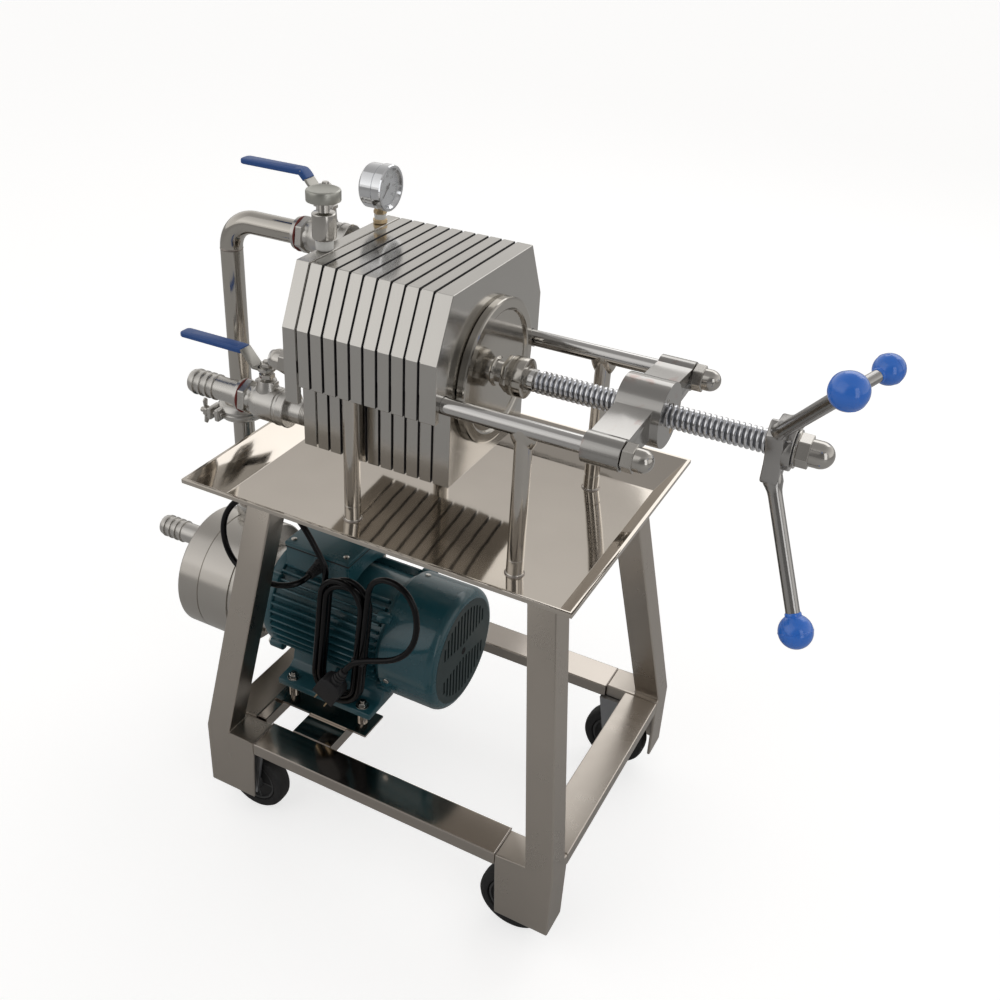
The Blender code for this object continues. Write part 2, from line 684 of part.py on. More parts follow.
def route(start, end, rows):
    """Points of a free cord: shares of the line between its ends, with offsets in route units."""
    points = []
    for share, x, y, z in rows:
        points.append(start.lerp(end, share) + Vector((x, y, z)) * ROUTE_UNIT)
    return points


# Heights and half widths that several pieces share.
tray_floor = TRAY_RIM - TRAY_DEPTH
rod_z = tray_floor + POST_HEIGHT
rod_y = PLATE_HALF_Y - ROD_INSET
body_half_y = rod_y - PLATE_BODY_INSET
top_half_y = PLATE_HALF_Y - PLATE_SHOULDER
plate_top = rod_z + PLATE_RISE
plate_kink = rod_z + PLATE_KINK_RISE
plate_bottom = rod_z - PLATE_DROP

# The stand.
tray_shadow = helper("tray_shadow", skin(tray_rings(TRAY_SHEET + FIT_GAP, tray_floor - TRAY_SHEET - FIT_GAP,
                                                    TRAY_RIM - TRAY_LIP)))
make_tray()
for near, side_y in (("near", -1), ("far", 1)):
    for left, side_x in (("left", -1), ("right", 1)):
        make_leg("leg_" + near + "_" + left, side_x, side_y)
        make_caster("caster_" + near + "_" + left, side_x * (FRAME_HALF_LENGTH - WHEEL_INSET_X),
                    side_y * (FRAME_HALF_WIDTH - WHEEL_INSET_Y))
span_x = FRAME_HALF_LENGTH - FOOT_FRONT_WIDTH - FIT_GAP
span_y = FRAME_HALF_WIDTH - FOOT_SIDE_WIDTH - FIT_GAP
inner_y = FRAME_HALF_WIDTH - RAIL_WIDTH
inner_x = FRAME_HALF_LENGTH - RAIL_WIDTH
make_rail("rail_near", -span_x, span_x, -FRAME_HALF_WIDTH, -inner_y)
make_rail("rail_far", -span_x, span_x, inner_y, FRAME_HALF_WIDTH)
make_rail("rail_left", -FRAME_HALF_LENGTH, -inner_x, -span_y, span_y)
make_rail("rail_right", inner_x, FRAME_HALF_LENGTH, -span_y, span_y)
bar_end = inner_y - FIT_GAP
left_bar = CROSS_BAR_GAP - inner_x
make_rail("cross_bar_left", left_bar, left_bar + CROSS_BAR_LEFT_WIDTH, -bar_end, bar_end)
right_bar = left_bar + CROSS_BAR_SPACING - CROSS_BAR_RIGHT_WIDTH / 2
make_rail("cross_bar_right", right_bar, right_bar + CROSS_BAR_RIGHT_WIDTH, -bar_end, bar_end)
bar_low = RAIL_TOP + FIT_GAP
bar_top = bar_low + MOTOR_BAR_SHEET
foot_base = bar_top + SPACER_HEIGHT + FIT_GAP
barrel_left = left_bar - BARREL_OVERHANG
foot_start = barrel_left + FOOT_START
bolt_places = (foot_start + FOOT_BOLT_INSET, foot_start + FOOT_LENGTH - FOOT_BOLT_INSET)
for name, side_y in (("motor_bar_near", -1), ("motor_bar_far", 1)):
    bolt_y = DRIVE_Y + side_y * FOOT_BOLT_REACH
    plate = block((left_bar + MOTOR_BAR_OVERLAP, bolt_y - MOTOR_BAR_WIDTH / 2, bar_low),
                  (bolt_places[-1] + MOTOR_BAR_MARGIN, bolt_y + MOTOR_BAR_WIDTH / 2, bar_top))
    bar = place(name, plate, "satin_steel")
    for label, bolt_x in zip(("left", "right"), bolt_places):
        stud_line = [(bar_low + MOTOR_BAR_SHEET / 2, SPACER_RADIUS),
                     (bar_top + SPACER_HEIGHT, SPACER_RADIUS)]
        stud = turned(stud_line, "Z", (bolt_x, bolt_y), SMALL_STEPS)
        combine(bar, helper(name + "_spacer_" + label, stud))

# The drive: motor, fan cover, terminal box and pump.
motor_z = foot_base + MOTOR_FOOT_DROP
barrel_right = barrel_left + BARREL_LENGTH
fin_corners = FIN_COUNT * 4


def motor_ring(along, outer, inner):
    """Section of the motor barrel, with fins when the two radii differ."""
    points = []
    for index in range(fin_corners):
        angle = math.tau * index / fin_corners
        radius = outer if index % 4 in (0, 1) else inner
        points.append((along, DRIVE_Y + radius * math.cos(angle), motor_z + radius * math.sin(angle)))
    return points


fin_left = barrel_left + BELL_LENGTH
fin_right = barrel_right - BELL_LENGTH / 2
root = FIN_RADIUS * FIN_ROOT_SHARE
bell_face = BELL_RADIUS * BELL_FACE_SHARE
rings = [motor_ring(barrel_left, bell_face, bell_face),
         motor_ring(barrel_left + BELL_LENGTH * BELL_ROUND_SHARE, BELL_RADIUS, BELL_RADIUS),
         motor_ring(fin_left, BELL_RADIUS, BELL_RADIUS),
         motor_ring(fin_left, root, root),
         motor_ring(fin_left + FIN_STEP, FIN_RADIUS, root),
         motor_ring(fin_right - FIN_STEP, FIN_RADIUS, root),
         motor_ring(fin_right, root, root),
         motor_ring(fin_right, BELL_RADIUS, BELL_RADIUS),
         motor_ring(barrel_right, BELL_RADIUS, BELL_RADIUS)]
motor = place("motor_body", skin(rings), "motor_green")
for label, side_y in (("near", -1), ("far", 1)):
    inner = DRIVE_Y + side_y * FOOT_INNER
    web = inner + side_y * FOOT_WEB_THICKNESS
    outer = DRIVE_Y + side_y * FOOT_OUTER
    pad_top = foot_base + FOOT_PLATE
    web_top = foot_base + FOOT_WEB_HEIGHT
    foot = [(inner, foot_base), (outer, foot_base), (outer, pad_top), (web, pad_top), (web, web_top),
            (inner, web_top)]
    combine(motor, helper("motor_foot_" + label, prism(foot, "X", foot_start, foot_start + FOOT_LENGTH)))
box_start = barrel_left + BOX_START
box_mesh = block((box_start, DRIVE_Y - BOX_HALF_Y, motor_z + BOX_BOTTOM_RISE),
                 (box_start + BOX_LENGTH, DRIVE_Y + BOX_HALF_Y, motor_z + BOX_TOP_RISE))
box = place("terminal_box", box_mesh, "motor_green")
barrel_line = [(barrel_left, FIN_RADIUS + FIT_GAP), (barrel_right, FIN_RADIUS + FIT_GAP)]
barrel_shadow = helper("barrel_shadow", turned(barrel_line, "X", (DRIVE_Y, motor_z), fin_corners))
combine(box, barrel_shadow, "DIFFERENCE")
cover_left = barrel_right + FIT_GAP
cover_right = cover_left + COVER_LENGTH
cover = [(cover_left, COVER_RADIUS)]
cover_steps = 5
for index in range(cover_steps + 1):
    angle = math.pi / 2 * index / cover_steps
    cover.append((cover_right - COVER_ROUND_LENGTH * (1 - math.sin(angle)),
                  COVER_RADIUS * (COVER_FACE_SHARE + (1 - COVER_FACE_SHARE) * math.cos(angle))))
place("fan_cover", turned(cover, "X", (DRIVE_Y, motor_z)), "motor_green")
pump_z = motor_z - PUMP_DROP
lantern_right = barrel_left - FIT_GAP
pump_right = lantern_right - LANTERN_LENGTH
pump_left = pump_right - PUMP_LENGTH
drum = [(pump_left, PUMP_RADIUS - PUMP_ROUND), (pump_left + PUMP_ROUND, PUMP_RADIUS),
        (pump_right - PUMP_ROUND, PUMP_RADIUS), (pump_right, PUMP_RADIUS - PUMP_ROUND),
        (pump_right, LANTERN_RADIUS), (lantern_right, LANTERN_RADIUS)]
pump = place("pump_casing", turned(drum, "X", (DRIVE_Y, pump_z)), "mirror_steel")
riser_x = pump_left + PORT_INSET
port_top = pump_z + PORT_RISE
port = turned([(pump_z, PORT_RADIUS), (port_top, PORT_RADIUS)], "Z", (riser_x, PIPE_Y), SMALL_STEPS)
combine(pump, helper("pump_port", port))
inlet_root = pump_left - FIT_GAP
inlet_neck = inlet_root - INLET_BOSS_LENGTH
inlet_tip = inlet_root - INLET_LENGTH
inlet = [(inlet_root, BARB_BORE), (inlet_root, INLET_BOSS_RADIUS), (inlet_neck, INLET_BOSS_RADIUS)]
inlet += barb_profile(inlet_neck, inlet_tip, -1)[:-1]
place("pump_inlet", hollow(inlet, "X", (DRIVE_Y, pump_z + INLET_RISE), SMALL_STEPS), "satin_steel")

# Delivery side: riser pipe, its clamp, the valve and the lever.
pipe_z = plate_top - PIPE_DROP
head_face = PACK_LEFT_X - FIT_GAP
valve_x = head_face - VALVE_REACH
union_x = valve_x - VALVE_ARM
riser_path = [(riser_x, PIPE_Y, port_top + FIT_GAP), (riser_x, PIPE_Y, pipe_z - PIPE_BEND)]
riser_path += arc((riser_x + PIPE_BEND, PIPE_Y, pipe_z - PIPE_BEND), PIPE_BEND, 180, 90, 8)[1:]
riser_path.append((union_x - FIT_GAP, PIPE_Y, pipe_z))
riser = bent_pipe("riser_pipe", riser_path, PIPE_RADIUS, "mirror_steel", 4)
clamp_low = port_top + CLAMP_RISE - CLAMP_HEIGHT / 2
clamp_high = clamp_low + CLAMP_HEIGHT
ring_hole = PIPE_RADIUS + FIT_GAP
clamp_edge = CLAMP_RADIUS * CLAMP_EDGE_SHARE
clamp_loop = [(clamp_low, ring_hole), (clamp_low, clamp_edge), (clamp_low + CLAMP_HEIGHT / 2, CLAMP_RADIUS),
              (clamp_high, clamp_edge), (clamp_high, ring_hole)]
place("pipe_clamp", hollow(clamp_loop, "Z", (riser_x, PIPE_Y), ROUND_STEPS), "satin_steel")
make_valve("delivery_valve", valve_x, PIPE_Y, pipe_z, union_x, head_face, DELIVERY_SEAT)
make_lever("delivery_lever", valve_x, PIPE_Y, pipe_z + DELIVERY_SEAT, LEVER_LENGTH)

# Outlet side: valve low on the fixed head, hose tail and lever.
outlet_z = plate_bottom + OUTLET_RISE
outlet_x = head_face - OUTLET_VALVE_REACH
outlet_left = outlet_x - VALVE_ARM
make_valve("outlet_valve", outlet_x, OUTLET_Y, outlet_z, outlet_left, head_face, OUTLET_SEAT)
outlet_loop = barb_profile(outlet_left - FIT_GAP, outlet_left - OUTLET_TAIL_LENGTH, -1)
place("outlet_tail", hollow(outlet_loop, "X", (OUTLET_Y, outlet_z), SMALL_STEPS), "satin_steel")
make_lever("outlet_lever", outlet_x, OUTLET_Y, outlet_z + OUTLET_SEAT, OUTLET_LEVER_LENGTH)

# Plate pack.
make_plate("fixed_head", PACK_LEFT_X, HEAD_THICKNESS, HEAD_EAR_DROP, land=False)
start = PACK_LEFT_X + HEAD_THICKNESS + GASKET_GAP
for index in range(PLATE_COUNT):
    make_plate("filter_plate_%d" % (index + 1), start, PLATE_THICKNESS, EAR_DROP)
    start += PLATE_THICKNESS + GASKET_GAP
make_plate("follower_plate", start, FOLLOWER_THICKNESS, EAR_DROP)
disc_start = start + FOLLOWER_THICKNESS + FIT_GAP
disc_end = disc_start + DISC_THICKNESS
disc_round = DISC_THICKNESS * DISC_ROUND_SHARE
disc_floor = disc_end - DISC_SINK
disc = [(disc_start, DISC_RADIUS * DISC_EDGE_SHARE), (disc_start + disc_round, DISC_RADIUS),
        (disc_end - disc_round, DISC_RADIUS), (disc_end, DISC_RADIUS * DISC_EDGE_SHARE),
        (disc_end, DISC_RADIUS * DISC_RIM_SHARE), (disc_floor, DISC_RADIUS * DISC_FLOOR_SHARE),
        (disc_floor, DISC_HUB_RADIUS)]
place("pressure_disc", turned(disc, "X", (0.0, rod_z)), "mirror_steel", (disc_start, 0.0, rod_z))

# Spindle, crosshead and handle.
spindle = []
along = disc_floor + FIT_GAP
for radius, length in ((SPINDLE_NECK_RADIUS, SPINDLE_NECK_LENGTH), (SPINDLE_NUT_RADIUS, SPINDLE_NUT_LENGTH),
                       (SPINDLE_COLLAR_RADIUS, SPINDLE_COLLAR_LENGTH),
                       (SPINDLE_SHANK_RADIUS, SPINDLE_SHANK_LENGTH)):
    spindle += [(along, radius), (along + length, radius)]
    along += length
spindle += [(along, SCREW_RADIUS), (HUB_LEFT_X - FIT_GAP, SCREW_RADIUS)]
place("spindle", turned(spindle, "X", (0.0, rod_z)), "mirror_steel", (0.0, 0.0, rod_z))


def cross_outline():
    """Face of the crosshead's arms, from the sleeve on one rod to the sleeve on the other."""
    half = [(0.0, rod_z - CROSS_ARM_DROP)]
    for index in range(ROUND_STEPS // 2 + 1):
        angle = math.radians(CROSS_ARM_DEGREES * (index * 4 / ROUND_STEPS - 1))
        half.append((rod_y + SLEEVE_RADIUS * math.cos(angle), rod_z + SLEEVE_RADIUS * math.sin(angle)))
    half.append((0.0, rod_z + CROSS_ARM_RISE))
    return half + [(-y, z) for y, z in reversed(half[1:-1])]


cross_right = CROSS_LEFT_X + SLEEVE_LENGTH
boss_start = CROSS_LEFT_X - BOSS_LEAD
boss_end = CROSS_LEFT_X + BOSS_LENGTH
cross = place("crosshead", prism(cross_outline(), "X", CROSS_LEFT_X, cross_right), "mirror_steel")
boss = turned([(boss_start, BOSS_RADIUS), (boss_end, BOSS_RADIUS)], "X", (0.0, rod_z))
combine(cross, helper("crosshead_boss", boss))
bores = (("near", -rod_y, ROD_RADIUS), ("far", rod_y, ROD_RADIUS), ("screw", 0.0, SCREW_RADIUS))
for label, y, radius in bores:
    bore = radius + ROD_CLEARANCE
    drill_line = [(boss_start - DRILL_BEYOND, bore), (boss_end + DRILL_BEYOND, bore)]
    drill = turned(drill_line, "X", (y, rod_z), SMALL_STEPS)
    combine(cross, helper("crosshead_bore_" + label, drill), "DIFFERENCE")
make_rod("guide_rod_near", -1)
make_rod("guide_rod_far", 1)


def hub_outline():
    """Three-lobed face of the handle hub."""
    points = []
    waist_reach, waist_width = LOBE_WAIST_SHARES
    for degrees in ARM_DEGREES:
        turn = math.radians(degrees)
        along = Vector((math.cos(turn), math.sin(turn)))
        across = Vector((-math.sin(turn), math.cos(turn)))
        for reach, width in ((waist_reach, -waist_width), (1, -1), (1, 1), (waist_reach, waist_width)):
            point = along * HUB_LOBE_REACH * reach + across * HUB_LOBE_HALF_WIDTH * width
            points.append((point.x, rod_z + point.y))
    return points


hub_right = HUB_LEFT_X + HUB_THICKNESS
hub_middle = HUB_LEFT_X + HUB_THICKNESS / 2
hub_mesh = prism(hub_outline(), "X", HUB_LEFT_X, hub_right)
handle = place("handle", hub_mesh, "satin_steel", (HUB_LEFT_X, 0.0, rod_z))
nut_start = hub_right + HUB_BOSS_LENGTH
nut_end = nut_start + HANDLE_NUT_LENGTH
nut = [(hub_middle, HUB_BOSS_RADIUS), (nut_start, HUB_BOSS_RADIUS), (nut_start, HANDLE_NUT_RADIUS),
       (nut_end, HANDLE_NUT_RADIUS)]
nut += dome(nut_end, HANDLE_DOME_LENGTH, HANDLE_DOME_RADIUS)
combine(handle, helper("handle_nut", turned(nut, "X", (0.0, rod_z), SMALL_STEPS)))
axis_point = Vector((HUB_LEFT_X, 0.0, rod_z))
arms = zip(ARM_DEGREES, BALL_OUT_SHARES, BALL_REACH_SHARES)
for number, (degrees, out_share, reach_share) in enumerate(arms, start=1):
    outward = Vector((0.0, math.cos(math.radians(degrees)), math.sin(math.radians(degrees))))
    ball = axis_point + outward * BALL_REACH * reach_share + Vector((BALL_OUT * out_share, 0.0, 0.0))
    inner = axis_point + outward * ARM_START + Vector((HUB_THICKNESS / 2, 0.0, 0.0))
    direction = (ball - inner).normalized()
    outer = ball - direction * (BALL_RADIUS - BALL_SINK)
    turn = Matrix.Translation(inner) @ direction.to_track_quat("Z", "Y").to_matrix().to_4x4()
    length = (outer - inner).length
    arm = turned([(0.0, ARM_RADIUS), (length, ARM_RADIUS)], "Z", (0.0, 0.0), SMALL_STEPS)
    bmesh.ops.transform(arm, matrix=turn, verts=arm.verts)
    combine(handle, helper("handle_arm_%d" % number, arm))
    knob_mesh = bmesh.new()
    stand_up = Matrix.Translation(ball) @ direction.to_track_quat("Z", "Y").to_matrix().to_4x4()
    bmesh.ops.create_uvsphere(knob_mesh, u_segments=24, v_segments=14, radius=BALL_RADIUS, matrix=stand_up)
    knob = place("ball_%d" % number, knob_mesh, "blue_ball", ball)
    hole = ARM_RADIUS + FIT_GAP
    socket = turned([(0.0, hole), (length + FIT_GAP, hole)], "Z", (0.0, 0.0), SMALL_STEPS)
    bmesh.ops.transform(socket, matrix=turn, verts=socket.verts)
    combine(knob, helper("ball_socket_%d" % number, socket), "DIFFERENCE")

# Vent and gauge on top of the fixed head.
head_middle = PACK_LEFT_X + HEAD_THICKNESS / 2
seat = plate_top + FIT_GAP
cap_low = seat + VENT_NECK_TOP
cap_high = seat + VENT_CAP_TOP
cap_face = VENT_CAP_RADIUS - VENT_CAP_ROUND
vent = [(seat, VENT_FOOT_RADIUS), (seat + VENT_FOOT_TOP, VENT_FOOT_RADIUS),
        (seat + VENT_FOOT_TOP, VENT_BODY_RADIUS), (seat + VENT_BODY_TOP, VENT_BODY_RADIUS),
        (seat + VENT_BODY_TOP, VENT_NECK_RADIUS), (cap_low, VENT_NECK_RADIUS), (cap_low, cap_face),
        (cap_low + VENT_CAP_ROUND, VENT_CAP_RADIUS), (cap_high - VENT_CAP_ROUND, VENT_CAP_RADIUS),
        (cap_high, cap_face)]
place("vent", turned(vent, "Z", (head_middle, VENT_Y), SMALL_STEPS), "mirror_steel")
gauge_z = plate_top + GAUGE_RISE
gauge_face = head_middle + GAUGE_DEPTH / 2
gauge_back = head_middle - GAUGE_DEPTH / 2
bezel_back = gauge_face - GAUGE_BEZEL_DEPTH
dial_radius = GAUGE_RADIUS * GAUGE_FACE_SHARE
case = [(gauge_back, GAUGE_RADIUS * GAUGE_BACK_SHARE), (gauge_back + GAUGE_BEZEL_DEPTH / 2, GAUGE_RADIUS),
        (bezel_back, GAUGE_RADIUS), (bezel_back, GAUGE_BEZEL_RADIUS),
        (gauge_face, GAUGE_BEZEL_RADIUS * GAUGE_EDGE_SHARE), (gauge_face, dial_radius),
        (gauge_face - GAUGE_DIAL_SINK, dial_radius * GAUGE_EDGE_SHARE)]
gauge = place("gauge", turned(case, "X", (GAUGE_Y, gauge_z)), "steel_gauge")
stem = [(seat, GAUGE_STEM_RADIUS), (seat + GAUGE_HEX_BASE, GAUGE_STEM_RADIUS),
        (seat + GAUGE_HEX_BASE, GAUGE_HEX_RADIUS), (gauge_z - GAUGE_RADIUS / 2, GAUGE_HEX_RADIUS)]
combine(gauge, helper("gauge_stem", turned(stem, "Z", (head_middle, GAUGE_Y), SMALL_STEPS)))

# Mains cord: the hank stands on the motor's near foot and holds most of the length.
gland_x = box_start + GLAND_START
gland_z = motor_z + GLAND_RISE
gland_root = DRIVE_Y - BOX_HALF_Y - FIT_GAP
gland_neck = gland_root - GLAND_NUT_LENGTH
gland_tip = gland_neck - GLAND_CONE_LENGTH
gland = [(gland_root, GLAND_NUT_RADIUS), (gland_neck, GLAND_NUT_RADIUS), (gland_neck, GLAND_CONE_RADIUS),
         (gland_tip, GLAND_TIP_RADIUS)]
place("cord_gland", turned(gland, "Y", (gland_x, gland_z), SMALL_STEPS), "black_cord")
foot_top = foot_base + FOOT_PLATE
hank_outer = HANK_TURN_RADIUS + CORD_RADIUS
hank_low = Vector((foot_start + HANK_ALONG_FOOT, foot_top + FIT_GAP + hank_outer))
lean = math.radians(HANK_LEAN_DEGREES)
hank_up = Vector((math.sin(lean), math.cos(lean)))
hank_across = Vector((math.cos(lean), -math.sin(lean)))
hank_high = hank_low + hank_up * HANK_RUN
hank_edge = HANK_TURN_RADIUS - CORD_RADIUS
stub_root = math.degrees(math.acos(hank_edge / hank_outer))
hank_line = []
for centre, first, last in ((hank_low, -180.0, 0.0), (hank_high, stub_root, 180.0 - stub_root)):
    if centre == hank_high:
        hank_line.append(centre + hank_across * hank_outer + hank_up * HANK_STUB)
        hank_line.append(centre + hank_across * hank_edge + hank_up * HANK_STUB)
    for index in range(HANK_END_STEPS + 1):
        angle = math.radians(first + (last - first) * index / HANK_END_STEPS)
        hank_line.append(centre + (hank_across * math.cos(angle) + hank_up * math.sin(angle)) * hank_outer)
hank_line.append(hank_high - hank_across * hank_edge + hank_up * HANK_STUB)
hank_line.append(hank_high - hank_across * hank_outer + hank_up * HANK_STUB)
hank_half = CORD_RADIUS * 2
hank = prism([tuple(point) for point in hank_line], "Y", HANK_Y - hank_half, HANK_Y + hank_half)
place("cord_hank", hank, "black_cord")
stub_end = hank_up * (HANK_STUB + FIT_GAP)
left_stub = hank_high - hank_across * HANK_TURN_RADIUS + stub_end
right_stub = hank_high + hank_across * HANK_TURN_RADIUS + stub_end
lead_start = Vector((gland_x, gland_tip - FIT_GAP, gland_z))
lead_end = Vector((left_stub.x, HANK_Y + CORD_RADIUS, left_stub.y))
up = Vector((hank_up.x, 0.0, hank_up.y))
lead_way = [lead_start]
gland_side = lead_start - Vector((0.0, CORD_STRAIGHT_AT_GLAND, 0.0))
lead_way += route(gland_side, lead_end + up * CORD_STRAIGHT, LEAD_ROUTE)
bent_pipe("cord_lead", lead_way + [lead_end], CORD_RADIUS, "black_cord", 2)
tail_start = Vector((right_stub.x, HANK_Y - CORD_RADIUS, right_stub.y))
plug_y = HANK_Y - hank_half - FIT_GAP - PLUG_THICKNESS / 2
plug_top = Vector((hank_low.x + PLUG_PAST_HANK, plug_y, foot_top + PLUG_ABOVE_FOOT))
plug_turn = math.radians(PLUG_LEAN_DEGREES)
plug_way = Vector((-math.sin(plug_turn), 0.0, -math.cos(plug_turn)))
tail_end = plug_top - plug_way * FIT_GAP
tail_way = route(tail_start + up * CORD_STRAIGHT, tail_end - plug_way * CORD_STRAIGHT, TAIL_ROUTE)
bent_pipe("cord_tail", [tail_start] + tail_way + [tail_end], CORD_RADIUS, "black_cord", 2)


def plug_box(low, high, half_width, half_depth):
    """Block along the plug's own axis, which runs down and to the left."""
    return block((-half_width, -half_depth, low), (half_width, half_depth, high))


body_start = PLUG_SLEEVE_LENGTH
body_end = body_start + PLUG_LENGTH
half_width = PLUG_WIDTH / 2
half_depth = PLUG_THICKNESS / 2
shoulders = [(half_width - PLUG_CHAMFER, half_depth - PLUG_CHAMFER / 2, body_start),
             (half_width, half_depth, body_start + PLUG_CHAMFER), (half_width, half_depth, body_end)]
plug_rings = [[(-wide, -deep, along), (wide, -deep, along), (wide, deep, along), (-wide, deep, along)]
              for wide, deep, along in shoulders]
stand_plug = Matrix.Translation(plug_top) @ Matrix.Rotation(math.pi + plug_turn, 4, "Y")
sleeve_line = [(0.0, PLUG_SLEEVE_START), (body_start + PLUG_CHAMFER, PLUG_SLEEVE_END)]
sleeve = turned(sleeve_line, "Z", (0.0, 0.0), SMALL_STEPS)
blade_root = body_end - BLADE_LENGTH / 2
half_blade = BLADE_WIDTH / 2
blade_tip = body_end + BLADE_LENGTH
blades = [plug_box(blade_root, blade_tip, BLADE_THICKNESS / 2, half_blade) for blade in range(2)]
plug_parts = [skin(plug_rings), sleeve]
for blade, side in zip(blades, (-1, 1)):
    bmesh.ops.translate(blade, verts=blade.verts, vec=(side * BLADE_SPREAD, 0.0, 0.0))
    plug_parts.append(blade)
for shape in plug_parts:
    bmesh.ops.transform(shape, matrix=stand_plug, verts=shape.verts)
plug = place("mains_plug", plug_parts[0], "black_cord")
for label, shape in zip(("sleeve", "blade_left", "blade_right"), plug_parts[1:]):
    combine(plug, helper("mains_plug_" + label, shape))

# Centre the whole machine over the origin.
middle = (inlet_tip + HUB_LEFT_X + BALL_OUT + BALL_RADIUS) / 2
for item in bpy.context.scene.collection.objects:
    item.location.x -= middle
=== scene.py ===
# %% [markdown]
# # Dressing a small plate filter press
# The solids of the press are packed and never change. This lesson builds the looks around them.
# Most steps say what the thing is on the real machine, how it is made here, and why in that way.

# %% Load the solids
import math

import bmesh
import bpy
from mathutils import Matrix, Vector


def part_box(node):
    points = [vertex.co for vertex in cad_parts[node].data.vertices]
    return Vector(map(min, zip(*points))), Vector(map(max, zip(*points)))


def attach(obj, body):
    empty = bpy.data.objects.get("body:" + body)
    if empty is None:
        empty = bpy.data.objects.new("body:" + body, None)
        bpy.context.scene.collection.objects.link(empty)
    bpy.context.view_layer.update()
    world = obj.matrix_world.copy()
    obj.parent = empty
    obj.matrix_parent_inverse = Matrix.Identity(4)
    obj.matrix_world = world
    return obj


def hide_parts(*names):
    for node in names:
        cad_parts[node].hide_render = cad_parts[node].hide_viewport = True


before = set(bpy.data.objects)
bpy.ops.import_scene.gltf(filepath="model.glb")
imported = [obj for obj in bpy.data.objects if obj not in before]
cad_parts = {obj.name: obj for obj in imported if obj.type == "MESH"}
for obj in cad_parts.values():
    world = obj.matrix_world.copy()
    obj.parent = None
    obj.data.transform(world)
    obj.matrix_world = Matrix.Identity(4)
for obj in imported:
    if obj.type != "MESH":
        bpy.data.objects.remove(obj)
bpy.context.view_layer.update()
MM = 0.001

# %% [markdown]
# ## The camera
# The view was found by fitting a camera to the tray, the rods and the stand. The rows below are its
# right, up and back directions. A small shift keeps the framing of the picture it was fitted to.

# %% Camera
CAMERA_PLACE = (0.4644147, -0.8622038, 0.9902757)
CAMERA_TURN = Matrix(((0.87559104, -0.26751471, 0.40221411),
                      (0.48199001, 0.42862371, -0.76417756),
                      (0.03203022, 0.86297023, 0.50423849)))
lens = bpy.data.cameras.new("camera")
lens.lens = 40.7216
lens.sensor_width = 36.0
lens.shift_x = 0.0440928
lens.shift_y = -0.0295340
lens.clip_start = 0.01
camera = bpy.data.objects.new("camera", lens)
camera.matrix_world = Matrix.Translation(CAMERA_PLACE) @ CAMERA_TURN.to_4x4()
bpy.context.scene.collection.objects.link(camera)
bpy.context.scene.camera = camera
bpy.context.scene.view_settings.view_transform = "Standard"
print("camera at", CAMERA_PLACE)

# %% [markdown]
# ## Writing materials as sums
# A material is a web of nodes, and most of its links only add or multiply. Wrapping a socket in a small
# class lets Python's own signs draw those nodes, so a finish reads like a formula.

# %% Sockets that can be added and multiplied


class Wire:
    """One socket of a material, which grows Math nodes when it is used in a sum."""

    def __init__(self, finish, socket):
        self.finish = finish
        self.socket = socket

    def maths(self, operation, first, second):
        """A Math node on two values or sockets."""
        return self.finish.node("ShaderNodeMath", {"operation": operation}, {0: first, 1: second})

    def __add__(self, other):
        return self.maths("ADD", self, other)

    def __mul__(self, other):
        return self.maths("MULTIPLY", self, other)

    __radd__ = __add__
    __rmul__ = __mul__


class Finish:
    """A material whose nodes are written as expressions."""

    def __init__(self, name, **fixed):
        self.material = bpy.data.materials.new(name)
        self.material.use_nodes = True
        self.tree = self.material.node_tree
        self.shader = self.tree.nodes["Principled BSDF"]
        for label, value in fixed.items():
            self.shader.inputs[label.replace("_", " ").title()].default_value = value
        self.place = self.node("ShaderNodeTexCoord", {}, {}, "Object")

    def node(self, kind, settings, sockets, output=0):
        """Add a node: its settings first, then the values or links of its sockets."""
        made = self.tree.nodes.new(kind)
        for label, value in settings.items():
            if label == "stops":
                ramp = made.color_ramp.elements
                while len(ramp) < len(value):
                    ramp.new(0.5)
                for stop, (position, colour) in zip(ramp, value):
                    stop.position = position
                    stop.color = colour
            else:
                setattr(made, label, value)
        for label, value in sockets.items():
            if isinstance(value, Wire):
                self.tree.links.new(value.socket, made.inputs[label])
            else:
                made.inputs[label].default_value = value
        return Wire(self, made.outputs[output])

    def speckle(self, size, detail=3.0, stretch=(1.0, 1.0, 1.0), rough=0.5):
        """Noise whose blobs are about that size in metres, drawn out along some axes."""
        scale = Vector([1.0 / size / part for part in stretch])
        spread = self.node("ShaderNodeMapping", {}, {"Vector": self.place, "Scale": scale}, "Vector")
        return self.node("ShaderNodeTexNoise", {}, {"Vector": spread, "Scale": 1.0, "Detail": detail,
                                                    "Roughness": rough}, "Fac")

    def ramp(self, value, *stops):
        """Grey or colour picked by a value, between stops of (position, colour)."""
        return self.node("ShaderNodeValToRGB", {"stops": stops}, {0: value}, "Color")

    def tint(self, share, low, high):
        """Colour that goes from low to high as the share goes from 0 to 1."""
        return self.node("ShaderNodeMix", {"data_type": "RGBA"}, {0: share, 6: low, 7: high}, 2)

    def feed(self, label, wire):
        """Link a socket to the shader."""
        self.tree.links.new(wire.socket, self.shader.inputs[label])

    def relief(self, height, distance, strength=1.0):
        """Bump of that height in metres, added to the shader's normal."""
        bump = self.node("ShaderNodeBump", {}, {"Height": height, "Distance": distance,
                                                "Strength": strength}, "Normal")
        self.feed("Normal", bump)


def grey(level):
    """A neutral colour."""
    return (level, level, level, 1.0)


print("node kit ready")

# %% [markdown]
# ## Stainless steel
# Sheet, bar, ground plate and casting are all stainless. What tells them apart is their colour, the
# scratch direction, how broad the highlights are, and the smudges that hands and welding leave behind.
# Each could have its own web of nodes. One function with those choices gives every steel here instead.

# %% Steel finishes
WEAR = 0.90


